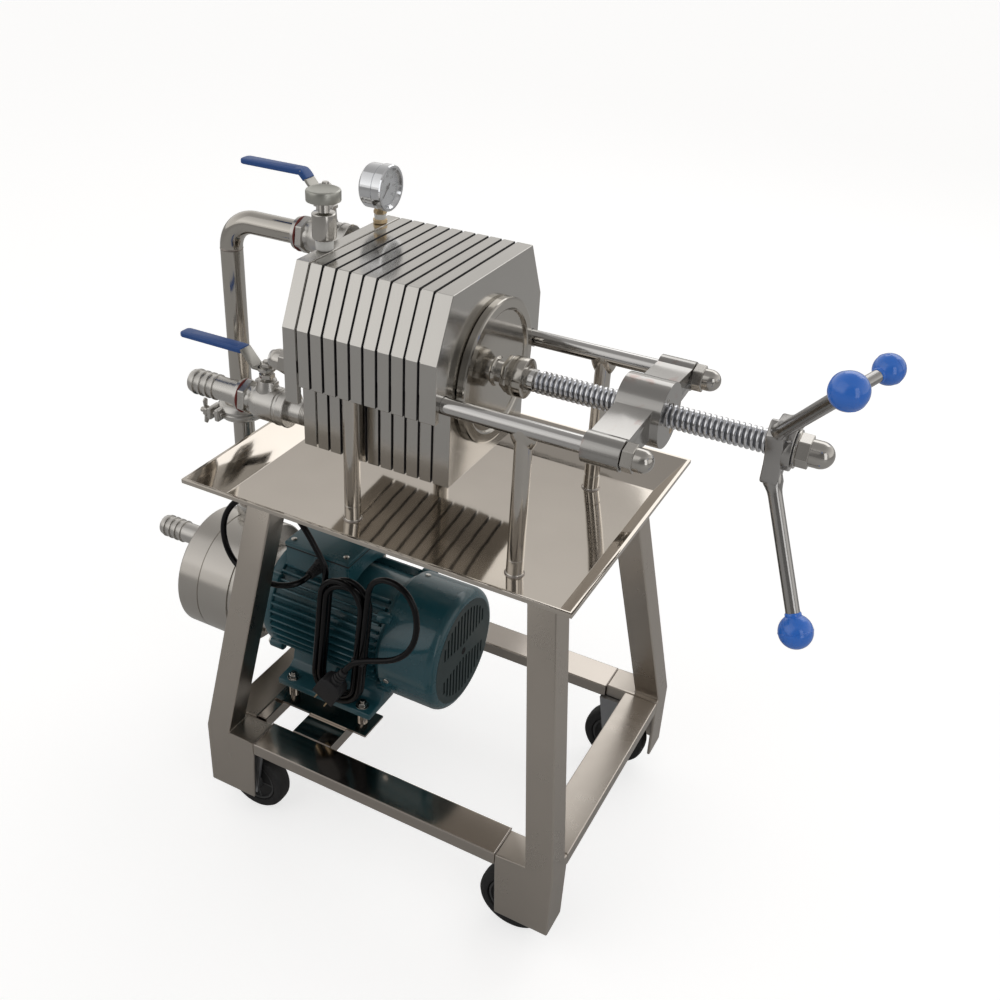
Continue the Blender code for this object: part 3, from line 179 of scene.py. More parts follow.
def steel(name, colour, shine, smudge, stretch, grain=0.0006, relief=0.000006, wave=0.0, soil=None):
    """Stainless with scratches drawn out along the stretched axes, smudges, slow waves and some soil."""
    made = Finish(name, metallic=1.0)
    scratch = made.speckle(grain, 2.0, stretch)
    stain = made.speckle(0.045, 1.5)
    blot = made.speckle(0.014, 1.0)
    marks = made.ramp(blot, (0.42, grey(0.0)), (0.80, grey(1.0)))
    made.feed("Roughness", shine + scratch * 0.03 + stain * smudge + marks * smudge * 0.25)
    worn = [part * WEAR for part in colour]
    metal = made.tint(stain * 0.8 + scratch * 0.2, (*worn, 1.0), (*colour, 1.0))
    if soil:
        patches = made.ramp(made.speckle(0.018, 3.0), (0.60, grey(0.0)), (0.74, grey(0.45)))
        metal = made.tint(patches, metal, (*soil, 1.0))
    made.feed("Base Color", metal)
    made.relief(scratch * relief + made.speckle(0.05, 1.0) * wave, 1.0)
    return made


EVEN = (1.0, 1.0, 1.0)
ALONG_X = (40.0, 1.0, 1.0)
ALONG_Z = (1.0, 1.0, 40.0)
WARM_STEEL = (0.60, 0.57, 0.53)
COOL_STEEL = (0.64, 0.63, 0.62)
mirror_steel = steel("mirror_steel", WARM_STEEL, 0.04, 0.05, EVEN, wave=0.00025)
bar_steel = steel("bar_steel", COOL_STEEL, 0.08, 0.06, ALONG_X)
post_steel = steel("post_steel", WARM_STEEL, 0.10, 0.06, ALONG_Z)
plate_steel = steel("plate_steel", (0.57, 0.555, 0.53), 0.11, 0.05, ALONG_Z, relief=0.0000008)
stand_steel = steel("stand_steel", (0.53, 0.485, 0.435), 0.22, 0.10, ALONG_Z, relief=0.000003)
rail_steel = steel("rail_steel", (0.51, 0.465, 0.42), 0.07, 0.05, ALONG_X, relief=0.0000006)
tray_steel = steel("tray_steel", (0.64, 0.59, 0.53), 0.03, 0.03, EVEN, relief=0.0000008, wave=0.00012)
head_steel = steel("head_steel", (0.44, 0.43, 0.415), 0.10, 0.06, EVEN, relief=0.000001, wave=0.00010,
                   soil=(0.34, 0.19, 0.16))
pipe_steel = steel("pipe_steel", (0.54, 0.515, 0.475), 0.09, 0.05, ALONG_X)
drum_steel = steel("drum_steel", (0.54, 0.515, 0.48), 0.17, 0.06, EVEN, relief=0.000003)
# This darker steel is painted shade for the thread's roots and for the gap behind the handle's washer.
shaded_groove_steel = steel("shaded_groove_steel", (0.19, 0.195, 0.21), 0.26, 0.10, EVEN)
cast_steel = steel("cast_steel", (0.61, 0.595, 0.57), 0.20, 0.12, EVEN, grain=0.0011, relief=0.00004)
arm_steel = steel("arm_steel", (0.47, 0.46, 0.45), 0.12, 0.08, ALONG_Z)
bolt_steel = steel("bolt_steel", (0.57, 0.55, 0.52), 0.10, 0.06, EVEN)
# This paler steel is a painted highlight for the crests of the screw's thread.
lit_crest_steel = steel("lit_crest_steel", (0.82, 0.83, 0.86), 0.12, 0.04, EVEN, relief=0.0)
chrome = steel("chrome", (0.78, 0.795, 0.82), 0.05, 0.03, EVEN, relief=0.0)
weld_steel = steel("weld_steel", (0.40, 0.36, 0.33), 0.26, 0.20, EVEN, grain=0.0013, relief=0.00025)
print("steels ready")

# %% [markdown]
# ## Paint, rubber, plastic and the small bright things
# The motor wears glossy paint over rough iron, so its bump is coarse and its coat is smooth. Vinyl and
# rubber are softer: broad highlights and a fine grain. Brass, tape and sealant are small, but the eye
# finds them at once because nothing else on the machine has their colour.

# %% Other finishes


def coated(name, colour, rough, grain, relief, dust=0.0, **fixed):
    """A non-metal with a fine grain, and dust in random patches."""
    made = Finish(name, **fixed)
    fine = made.speckle(grain, 3.0)
    cloud = made.speckle(0.03, 4.0)
    pale = [part * 1.2 + 0.001 for part in colour]
    made.feed("Roughness", rough + fine * 0.08 + cloud * dust)
    made.feed("Base Color", made.tint(cloud, (*colour, 1.0), (*pale, 1.0)))
    made.relief(fine * relief, 1.0)
    return made


motor_paint = coated("motor_paint", (0.018, 0.086, 0.110), 0.16, 0.0025, 0.00012, 0.22, coat_weight=0.35)
cover_paint = coated("cover_paint", (0.014, 0.078, 0.102), 0.14, 0.0120, 0.00020, 0.16, coat_weight=0.4)
grille_paint = coated("grille_paint", (0.030, 0.048, 0.051), 0.42, 0.0015, 0.00005, 0.20)
blue_vinyl = coated("blue_vinyl", (0.017, 0.082, 0.300), 0.36, 0.0012, 0.00006)
blue_plastic = coated("blue_plastic", (0.032, 0.190, 0.740), 0.07, 0.0100, 0.00005, coat_weight=0.5)
black_rubber = coated("black_rubber", (0.010, 0.010, 0.012), 0.50, 0.0008, 0.00003)
tyre_rubber = coated("tyre_rubber", (0.012, 0.012, 0.013), 0.46, 0.0015, 0.00006, 0.20)
hub_plastic = coated("hub_plastic", (0.045, 0.046, 0.048), 0.42, 0.0012, 0.00004)
cord_sheath = coated("cord_sheath", (0.002, 0.002, 0.003), 0.12, 0.0010, 0.00003)
cord_sheath.shader.inputs["Specular IOR Level"].default_value = 0.22
sealant = coated("sealant", (0.170, 0.022, 0.016), 0.40, 0.0020, 0.00025)
white_tape = coated("white_tape", (0.780, 0.780, 0.760), 0.50, 0.0008, 0.00012)
dial_paper = coated("dial_paper", (0.560, 0.580, 0.610), 0.45, 0.0010, 0.00001)
ink = coated("ink", (0.020, 0.020, 0.022), 0.50, 0.0010, 0.00001)
# This near-black finish is painted shade for the open hole in the middle of the fan cover.
bore_shade = coated("bore_shade", (0.004, 0.004, 0.005), 0.80, 0.0010, 0.00002)
brass = steel("brass", (0.74, 0.58, 0.37), 0.22, 0.12, EVEN)
zinc = steel("zinc", (0.42, 0.43, 0.45), 0.30, 0.20, EVEN, grain=0.0020)
glass = Finish("glass", base_color=grey(1.0), roughness=0.02, alpha=0.16)
print("other finishes ready")

# %% [markdown]
# ## A few tools for shaping
# Nearly every part here is turned, drawn out of a flat outline, or bent from bar. So three makers cover
# them: one spins a profile, one draws an outline out, one carries a ring along a path. A fourth takes a
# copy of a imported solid, merges its loose triangles and softens its edges, for shapes that are right
# already and only lack the small bevels that catch the light.

# %% Shape makers
AXES = {"X": Vector((1, 0, 0)), "Y": Vector((0, 1, 0)), "Z": Vector((0, 0, 1))}
HALF_ROUND = 0.5


def spot(axis, along, first, second):
    """A point given along an axis and across it."""
    places = {"X": (along, first, second), "Y": (first, along, second), "Z": (first, second, along)}
    return Vector(places[axis])


def soften(shape, width, segments=2, sharp=30.0):
    """Bevel the edges of a shape that are sharper than an angle in degrees."""
    edges = [edge for edge in shape.edges if len(edge.link_faces) == 2
             and edge.calc_face_angle() > math.radians(sharp)]
    bmesh.ops.bevel(shape, geom=edges, offset=width, offset_type="OFFSET", segments=segments,
                    profile=HALF_ROUND, affect="EDGES", clamp_overlap=True, material=-1)
    return shape


def profile(start, *rows, out=0.0):
    """Turned outline closed at its axis. A row is mm along from the start and mm out from a radius."""
    points = [(start + along * MM, out + reach * MM) for along, reach in rows]
    return [(points[0][0], 0.0), *points, (points[-1][0], 0.0)]


def mirrored(middle, between, *half, out=0.0):
    """Turned outline with the same rows on both sides of its middle, and one radius between them."""
    near = [(-along, reach) for along, reach in half]
    return profile(middle, *near, (0, between), *reversed(half), out=out)


def carried(shape, matrix):
    """Shape moved by a matrix."""
    bmesh.ops.transform(shape, verts=shape.verts, matrix=matrix)
    return shape


def spun(line, axis, centre, steps=64, bevel=0.0, bevel_steps=2):
    """Turned shape: a line of (along, radius) points spun about an axis through a centre."""
    shape = bmesh.new()
    corners = [shape.verts.new(spot(axis, along, 0.0, radius)) for along, radius in line]
    edges = [shape.edges.new(pair) for pair in zip(corners, corners[1:])]
    bmesh.ops.spin(shape, geom=corners + edges, cent=(0, 0, 0), axis=AXES[axis], dvec=(0, 0, 0),
                   angle=math.tau, steps=steps, use_merge=True)
    bmesh.ops.remove_doubles(shape, verts=shape.verts, dist=MM / 500)
    bmesh.ops.recalc_face_normals(shape, faces=shape.faces)
    if bevel:
        soften(shape, bevel, bevel_steps)
    bmesh.ops.translate(shape, verts=shape.verts, vec=spot(axis, 0.0, *centre))
    return shape


def drawn(outline, axis, low, high, bevel=0.0, bevel_steps=2):
    """Flat outline drawn out along an axis."""
    shape = bmesh.new()
    face = shape.faces.new([shape.verts.new(spot(axis, low, *point)) for point in outline])
    grown = bmesh.ops.extrude_face_region(shape, geom=[face])["geom"]
    moved = [item for item in grown if isinstance(item, bmesh.types.BMVert)]
    bmesh.ops.translate(shape, verts=moved, vec=AXES[axis] * (high - low))
    bmesh.ops.recalc_face_normals(shape, faces=shape.faces)
    if bevel:
        soften(shape, bevel, bevel_steps)
    return shape


def block(low, high, bevel=0.0, bevel_steps=2):
    """Box between two corners."""
    outline = [(low[0], low[1]), (high[0], low[1]), (high[0], high[1]), (low[0], high[1])]
    return drawn(outline, "Z", low[2], high[2], bevel, bevel_steps)


def skinned(rings):
    """Closed skin bridged from ring to ring; each ring has the same count of points."""
    shape = bmesh.new()
    loops = []
    for ring in rings:
        corners = [shape.verts.new(point) for point in ring]
        loops.append([shape.edges.new(pair) for pair in zip(corners, corners[1:] + corners[:1])])
    for before, after in zip(loops, loops[1:]):
        bmesh.ops.bridge_loops(shape, edges=before + after)
    bmesh.ops.contextual_create(shape, geom=loops[0])
    bmesh.ops.contextual_create(shape, geom=loops[-1])
    bmesh.ops.recalc_face_normals(shape, faces=shape.faces)
    return shape


def oval(centre, half_wide, half_high, square=0.45, count=24):
    """Ring across X with rounded corners: a power below one squares a circle up."""
    ring = []
    for index in range(count):
        angle = math.tau * index / count
        wide = math.copysign(abs(math.cos(angle)) ** square, math.cos(angle)) * half_wide
        high = math.copysign(abs(math.sin(angle)) ** square, math.sin(angle)) * half_high
        ring.append((centre[0], centre[1] + wide, centre[2] + high))
    return ring


def ring_points(radius, count, first=0.0):
    """Points round a circle, for hexagons and other regular outlines."""
    angles = [first + math.tau * index / count for index in range(count)]
    return [(radius * math.cos(angle), radius * math.sin(angle)) for angle in angles]


def nut(axis, centre, radius, low, high, turn=0.0, chamfer=0.0008):
    """Hexagon nut with its long way out at the radius."""
    outline = [(centre[0] + y, centre[1] + z) for y, z in ring_points(radius, 6, turn)]
    return drawn(outline, axis, low, high, chamfer, 1)


def tube(points, radius, steps=24, radii=None):
    """Round bar carried along a path; radii may give each point its own."""
    ways = [Vector(points[1]) - Vector(points[0])]
    ways += [Vector(after) - Vector(before) for before, after in zip(points, points[2:])]
    ways.append(Vector(points[-1]) - Vector(points[-2]))
    shape = bmesh.new()
    ring = bmesh.ops.create_circle(shape, cap_ends=False, segments=steps, radius=1.0)["verts"]
    edges = shape.edges[:]
    sizes = radii or [radius] * len(points)
    turned = AXES["Z"].rotation_difference(ways[0]).to_matrix().to_4x4()
    start = Matrix.Translation(points[0]) @ turned @ Matrix.Scale(sizes[0], 4)
    bmesh.ops.transform(shape, verts=ring, matrix=start)
    bmesh.ops.contextual_create(shape, geom=edges)
    for index in range(1, len(points)):
        grown = bmesh.ops.extrude_edge_only(shape, edges=edges)["geom"]
        ring = [item for item in grown if isinstance(item, bmesh.types.BMVert)]
        edges = [item for item in grown if isinstance(item, bmesh.types.BMEdge)]
        bend = ways[index - 1].rotation_difference(ways[index]).to_matrix()
        step = Vector(points[index]) - Vector(points[index - 1])
        bmesh.ops.translate(shape, verts=ring, vec=step)
        bmesh.ops.rotate(shape, verts=ring, cent=points[index], matrix=bend)
        grow = sizes[index] / sizes[index - 1]
        middle = Matrix.Translation(-Vector(points[index]))
        bmesh.ops.scale(shape, verts=ring, vec=(grow, grow, grow), space=middle)
    bmesh.ops.contextual_create(shape, geom=edges)
    bmesh.ops.recalc_face_normals(shape, faces=shape.faces)
    return shape


def merged(node):
    """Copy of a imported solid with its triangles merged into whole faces."""
    shape = bmesh.new()
    shape.from_mesh(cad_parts[node].data)
    bmesh.ops.remove_doubles(shape, verts=shape.verts, dist=MM / 200)
    bmesh.ops.dissolve_limit(shape, angle_limit=math.radians(0.6), use_dissolve_boundaries=False,
                             verts=shape.verts, edges=shape.edges)
    return shape


class Piece:
    """Gathers shapes, each with its own finish, into one object that rides on a body."""

    def __init__(self, name, body, slot, *stands_for):
        self.name = name
        self.body = body
        self.slot = slot
        self.stands_for = stands_for
        self.shape = bmesh.new()
        self.finishes = []

    def add(self, shape, finish):
        """Take a shape in with a finish."""
        if finish not in self.finishes:
            self.finishes.append(finish)
        for face in shape.faces:
            face.material_index = self.finishes.index(finish)
        mesh = bpy.data.meshes.new(self.name)
        shape.to_mesh(mesh)
        shape.free()
        self.shape.from_mesh(mesh)
        bpy.data.meshes.remove(mesh)
        return self

    def done(self, sharp=24.0):
        """Make the object, shade it, and tie it to its body."""
        mesh = bpy.data.meshes.new(self.name)
        self.shape.to_mesh(mesh)
        self.shape.free()
        for finish in self.finishes:
            mesh.materials.append(finish.material)
        mesh.shade_smooth()
        mesh.set_sharp_from_angle(angle=math.radians(sharp))
        made = bpy.data.objects.new(self.name, mesh)
        bpy.context.scene.collection.objects.link(made)
        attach(made, self.body)
        if self.stands_for:
            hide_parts(*self.stands_for)
        return made


def centre_of(node):
    """Middle of a solid's box."""
    low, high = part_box(node)
    return (low + high) / 2


print("shape makers ready")

# %% [markdown]
# ## The mains cord
# A cord is one fixed length of something that bends. It leaves the gland of the terminal box, hangs in a
# loop behind the near leg, and goes into a hank of four turns that stands on the motor's foot. The rest
# makes one big loop and ends in its plug, which leans on the hank. The free stretches are listed points,
# in millimetres; the turns are worked out, two side by side and two in front of those.

# %% Cord route
CORD_RADIUS = 3.3 * MM
CORD_EXIT = (-124.8, -68.6, 284.0)
LEAD_POINTS = [
    CORD_EXIT, (-124.8, -72.6, 284.0), (-125.9, -79.6, 283.5), (-128.9, -86.1, 282.9),
    (-133.8, -91.2, 282.4), (-139.9, -94.8, 281.9), (-146.8, -96.5, 281.3), (-155.9, -96.5, 280.4),
    (-166.8, -95.4, 279.3), (-178.8, -93.6, 278.4), (-190.9, -91.5, 278.6), (-201.9, -89.3, 280.9),
    (-211.4, -87.2, 286.4), (-218.7, -85.2, 294.7), (-223.3, -83.5, 304.9), (-225.1, -82.0, 316.3),
    (-223.9, -80.6, 328.3), (-219.4, -79.3, 339.9), (-211.7, -78.1, 350.9), (-200.9, -77.1, 360.4),
    (-187.9, -76.4, 367.1), (-173.9, -76.0, 371.0), (-159.9, -75.9, 371.6), (-146.9, -76.0, 368.7),
    (-135.2, -76.4, 362.6), (-125.2, -76.6, 353.6), (-116.7, -76.6, 342.6), (-109.5, -76.5, 331.1),
    (-103.2, -76.4, 320.2), (-98.8, -76.4, 311.7), (-97.2, -76.4, 304.3)]
TAIL_POINTS = [
    (-41.1, -83.0, 298.4), (-39.4, -83.2, 307.8), (-35.0, -83.8, 316.9), (-27.8, -84.5, 323.8),
    (-18.3, -85.3, 328.2), (-7.3, -86.0, 328.6), (3.2, -86.6, 324.6), (11.6, -87.2, 316.4),
    (17.2, -87.8, 305.0), (19.6, -88.4, 291.5), (19.2, -89.1, 277.5), (16.0, -90.0, 264.0),
    (9.7, -91.0, 251.8), (0.4, -92.2, 242.0), (-10.9, -93.4, 235.1), (-23.3, -94.5, 230.2),
    (-35.3, -95.2, 225.3), (-46.1, -95.6, 219.3), (-54.2, -95.6, 212.7), (-59.8, -95.6, 205.4),
    (-62.9, -95.6, 200.3)]
HANK_LEAN = math.radians(6.0)
HANK_LOW = Vector((-82.85, 170.8))
HANK_RUN = 105.0
HANK_UP = Vector((math.sin(HANK_LEAN), math.cos(HANK_LEAN)))
HANK_ACROSS = Vector((math.cos(HANK_LEAN), -math.sin(HANK_LEAN)))
WIDE = 28.2
NARROW = 21.6
INNER_Y = -76.4
OUTER_Y = -83.0
FOLD_STEPS = 18
# Each turn: its reach and layer, the next turn's reach and layer, and how high the fold between rises.
TURNS = [(WIDE, INNER_Y, NARROW, INNER_Y, WIDE), (NARROW, INNER_Y, NARROW, OUTER_Y, NARROW),
         (NARROW, OUTER_Y, WIDE, OUTER_Y, WIDE), (WIDE, OUTER_Y, None, None, None)]


def hank_point(across, along, y):
    """Point of the hank, from its lower fold's centre, in millimetres."""
    flat = HANK_LOW + HANK_ACROSS * across + HANK_UP * along
    return (flat.x, y, flat.y)


def hank_way():
    """Centreline of the four turns, from the lead's side over the folds to the tail's side."""
    points = []
    for reach, layer, next_reach, next_layer, height in TURNS:
        for index in range(FOLD_STEPS + 1):
            angle = math.pi * (1 + index / FOLD_STEPS)
            points.append(hank_point(reach * math.cos(angle), reach * math.sin(angle), layer))
        if next_reach is None:
            continue
        for index in range(FOLD_STEPS + 1):
            share = index / FOLD_STEPS
            angle = math.pi * share
            middle = (reach - next_reach) / 2
            across = middle + (reach + next_reach) / 2 * math.cos(angle)
            y = layer + (next_layer - layer) * (1 - math.cos(angle)) / 2
            points.append(hank_point(across, HANK_RUN + height * math.sin(angle), y))
    return points


def eased(points, parts=3):
    """Same way with points set between, on a smooth curve through all of them."""
    ends = [points[0]] + points + [points[-1]]
    way = []
    for before, start, end, after in zip(ends, ends[1:], ends[2:], ends[3:]):
        for part in range(parts):
            t = part / parts
            way.append(tuple(
                0.5 * (2 * b + (c - a) * t + (2 * a - 5 * b + 4 * c - d) * t * t
                       + (3 * b - a - 3 * c + d) * t ** 3)
                for a, b, c, d in zip(before, start, end, after)))
    return way + [points[-1]]


way = eased(LEAD_POINTS) + hank_way() + eased(TAIL_POINTS)
way = [Vector(point) * MM for point in way]
cord_length = sum((after - before).length for before, after in zip(way, way[1:]))
print("cord length in metres:", round(cord_length, 3))

# %% Cord, strain relief, tie and plug
curve = bpy.data.curves.new("mains_cord", "CURVE")
curve.dimensions = "3D"
curve.bevel_depth = CORD_RADIUS
curve.bevel_resolution = 4
curve.use_fill_caps = True
line = curve.splines.new("POLY")
line.points.add(len(way) - 1)
for point, place in zip(line.points, way):
    point.co = (*place, 1.0)
line.use_smooth = True
curve.materials.append(cord_sheath.material)
cord = bpy.data.objects.new("mains_cord", curve)
bpy.context.scene.collection.objects.link(cord)
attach(cord, "stand")
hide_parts("cord_lead", "cord_hank", "cord_tail")

gland_low, gland_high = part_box("cord_gland")
gland_centre = ((gland_low.x + gland_high.x) / 2, (gland_low.z + gland_high.z) / 2)
gland = Piece("cord_relief", "stand", "black_cord", "cord_gland")
gland.add(nut("Y", gland_centre, 9 * MM, gland_high.y - 4 * MM, gland_high.y, 0.0), black_rubber)
cone = [(gland_high.y - 4 * MM, 0.0), (gland_high.y - 4 * MM, 7.0 * MM), (gland_high.y - 8 * MM, 7.0 * MM)]
RELIEF_RIBS = 5
for rib in range(RELIEF_RIBS):
    far = gland_high.y - (9 + rib * 3) * MM
    reach = (6.6 - rib * 0.42) * MM
    cone += [(far, reach), (far - 1.4 * MM, reach), (far - 1.7 * MM, reach - 0.8 * MM),
             (far - 2.7 * MM, reach - 0.8 * MM)]
cone += [(gland_low.y, 4.3 * MM), (gland_low.y, 0.0)]
gland.add(spun(cone, "Y", gland_centre, 32), black_rubber)
gland = gland.done()

tie_middle = hank_point((WIDE + NARROW) / 2, 40.0, (INNER_Y + OUTER_Y) / 2)
tie = Piece("hank_tie", "stand", "black_cord")
strap = block((-8.0 * MM, -7.6 * MM, -3.5 * MM), (8.0 * MM, 7.6 * MM, 3.5 * MM), 3.0 * MM, 5)
turned = Matrix.Translation(Vector(tie_middle) * MM) @ Matrix.Rotation(HANK_LEAN, 4, "Y")
carried(strap, turned)
tie = tie.add(strap, black_rubber).done()

PLUG_TOP = Vector((-63.05, -95.6, 200.0)) * MM
PLUG_LEAN = math.radians(30.6)
plug_place = Matrix.Translation(PLUG_TOP) @ Matrix.Rotation(math.pi + PLUG_LEAN, 4, "Y")
plug = Piece("mains_plug_moulded", "stand", "black_cord", "mains_plug")
sleeve = [(0.2 * MM, 0.0), (0.2 * MM, 4.2 * MM)]
for rib in range(4):
    start = (2.5 + rib * 4.2) * MM
    reach = (4.6 + rib * 0.75) * MM
    sleeve += [(start, reach), (start + 2.4 * MM, reach + 0.3 * MM), (start + 2.8 * MM, reach - 0.9 * MM),
               (start + 3.8 * MM, reach - 0.8 * MM)]
sleeve += [(22 * MM, 7.5 * MM), (22 * MM, 0.0)]
body_outline = [(-6, 20), (6, 20), (12, 25), (14, 31), (14, 49), (13, 50), (-13, 50), (-14, 49),
                (-14, 31), (-12, 25)]
body_outline = [(x * MM, z * MM) for x, z in body_outline]
shapes = [(spun(sleeve, "Z", (0.0, 0.0), 32), black_rubber),
          (drawn(body_outline, "Y", -8.8 * MM, 8.8 * MM, 2.2 * MM, 4), black_rubber)]
for grip in range(5):
    height = (32 + grip * 3) * MM
    ridge = block((-14.0 * MM, -6 * MM, height), (14.0 * MM, 6 * MM, height + 1.3 * MM), 0.5 * MM)
    shapes.append((ridge, black_rubber))
for side in (-1, 1):
    x = side * 7 * MM
    blade = block((x - 0.8 * MM, -3 * MM, 48 * MM), (x + 0.8 * MM, 3 * MM, 65 * MM), 0.5 * MM)
    shapes.append((blade, brass))
for shape, finish in shapes:
    plug.add(carried(shape, plug_place), finish)
plug = plug.done()
print("cord, relief, tie and plug made")

# %% [markdown]
# ## The plate pack
# Eleven plates are cut from one thick sheet and ground on their edges. The solids are right already, so
# each plate is a merged copy with a small bevel, which is what makes a ground edge glint. The raised land
# on each filter plate is where the black gasket sits, so the faces out there take rubber, not steel.

# %% Plates and gaskets
GASKET = 2.05 * MM


def plate_piece(node, body, gasket):
    """Ground plate with bevelled edges, and rubber beyond its own thickness."""
    low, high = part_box(node)
    shape = merged(node)
    soften(shape, 0.45 * MM, 2)
    made = Piece(node + "_ground", body, "plate_steel", node)
    made.finishes = [plate_steel, black_rubber]
    rubber_from = high.x - GASKET if gasket else high.x + MM
    for face in shape.faces:
        inside = face.calc_center_median().x > rubber_from + 0.2 * MM
        face.material_index = 1 if inside else 0
    mesh = bpy.data.meshes.new(node)
    shape.to_mesh(mesh)
    shape.free()
    made.shape.from_mesh(mesh)
    bpy.data.meshes.remove(mesh)
    return made.done(8.0)


plate_piece("fixed_head", "stand", False)
for number in range(1, 10):
    plate_piece(f"filter_plate_{number}", f"plate_body_{number}", True)
plate_piece("follower_plate", "follower", False)

# %% [markdown]
# ## The pressure disc
# A turned dish with a raised rim passes the screw's push on to the pack. Its hollow is part of the
# profile that is spun, so its edges cast real shadows.

# %% Pressure disc
disc_low, disc_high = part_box("pressure_disc")
rod_z = (disc_low.z + disc_high.z) / 2
face = disc_high.x
thick = (face - disc_low.x) / MM
disc_line = profile(face, (-thick, 67.9), (1.9 - thick, 70), (-1.9, 70), (-0.6, 69.5), (0, 67.9), (0, 60.2),
                    (-0.8, 58.8), (-2.8, 57.4), (-2.8, 14.5), (-1.6, 13.2), (-0.2, 12.8))
disc = Piece("pressure_disc_turned", "follower", "mirror_steel", "pressure_disc")
disc.add(spun(disc_line, "X", (0.0, rod_z), 128), pipe_steel).done(20.0)

# %% [markdown]
# ## The screw
# A thread is a small ridge that climbs as it goes round. Spinning one ridge section with a step along
# the axis for each step round gives it, on top of a plain core. Seventeen turns of the handle open the
# press fully, so the ridge must be a true right-hand one.

# %% Spindle with its thread
SCREW_PITCH = 5.0 * MM
SCREW_CREST = 11.0 * MM
SCREW_ROOT = 8.3 * MM
spindle_low, spindle_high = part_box("spindle")
first = spindle_low.x
neck_end = first + 9.8 * MM
nut_end = neck_end + 7.0 * MM
collar_end = nut_end + 15.0 * MM
shank_end = collar_end + 8.0 * MM


def thread(start, turns, steps=28):
    """Ridge of a round-crested right-hand thread, closed at both ends."""
    crest = [(0.20, 0.50), (0.28, 0.88), (0.50, 1.0), (0.72, 0.88), (0.80, 0.50)]
    depth = SCREW_CREST - SCREW_ROOT
    section = [(0.10, -0.2), (0.15, 0.0)] + crest + [(0.85, 0.0), (0.90, -0.2)]
    shape = bmesh.new()
    corners = [shape.verts.new((start + SCREW_PITCH * along, 0.0, SCREW_ROOT + depth * out))
               for along, out in section]
    first_face = shape.faces.new(corners)
    bmesh.ops.spin(shape, geom=[first_face], cent=(0, 0, 0), axis=AXES["X"],
                   dvec=(SCREW_PITCH / steps, 0, 0), angle=math.tau * turns, steps=steps * turns)
    bmesh.ops.recalc_face_normals(shape, faces=shape.faces)
    bmesh.ops.translate(shape, verts=shape.verts, vec=(0, 0, rod_z))
    return shape


spindle = Piece("spindle_threaded", "handwheel", "mirror_steel", "spindle")
axle = [(first, 0.0), (first, 10 * MM), (neck_end + MM, 10 * MM), (neck_end + MM, 0.0)]
spindle.add(spun(axle, "X", (0.0, rod_z), 48, 0.4 * MM), bar_steel)
spindle.add(nut("X", (0.0, rod_z), 18 * MM, neck_end, nut_end, math.radians(14), 0.8 * MM), pipe_steel)
collar = profile(collar_end, (-15, 19), (0, 19), (0, 11.6), (-1, 11.2))
spindle.add(spun(collar, "X", (0.0, rod_z), 96, 0.7 * MM, 3), pipe_steel)
shank = [(collar_end - 2 * MM, 0.0), (collar_end - 2 * MM, 10.5 * MM), (shank_end, 10.5 * MM),
         (shank_end + 1.5 * MM, SCREW_ROOT), (shank_end + 1.5 * MM, 0.0)]
spindle.add(spun(shank, "X", (0.0, rod_z), 64), bar_steel)
core = [(shank_end, 0.0), (shank_end, SCREW_ROOT), (spindle_high.x, SCREW_ROOT), (spindle_high.x, 0.0)]
# The core between the ridges takes the darker steel: painted shade in the thread's roots.
spindle.add(spun(core, "X", (0.0, rod_z), 64), shaded_groove_steel)
thread_turns = int((spindle_high.x - shank_end) / SCREW_PITCH)
# The ridge takes the paler steel: a painted highlight on the thread's crests.
spindle.add(thread(shank_end, thread_turns), lit_crest_steel)
spindle.done(35.0)
print("thread turns:", thread_turns)

# %% [markdown]
# ## Guide rods and posts
# Two bright bars carry the plates. Each ends in a nut and a domed cap nut, and stands on two posts whose
# tops flare into the weld. The flare is a quarter arc in the post's profile.

# %% Guide rods
ROD = 8.0 * MM
FLARE = 13.5 * MM
POST_XS = (-54.15 * MM, 121.35 * MM)
tray_low, tray_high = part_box("tray")


def cap_nut(piece, axis, centre, start, way, radius, flat, dome, turn=0.0):
    """Domed cap nut that starts at a face and points along +1 or -1."""
    end = start + way * flat
    piece.add(nut(axis, centre, radius, min(start, end), max(start, end), turn, 0.6 * MM), bolt_steel)
    steps = 10
    bulb = radius * 0.79
    line = [(end - way * MM, 0.0), (end - way * MM, bulb), (end + way * (dome - bulb), bulb)]
    for index in range(1, steps + 1):
        angle = math.pi / 2 * index / steps
        line.append((end + way * (dome - bulb + bulb * math.sin(angle)), bulb * math.cos(angle)))
    piece.add(spun(line, axis, centre, 48), bolt_steel)


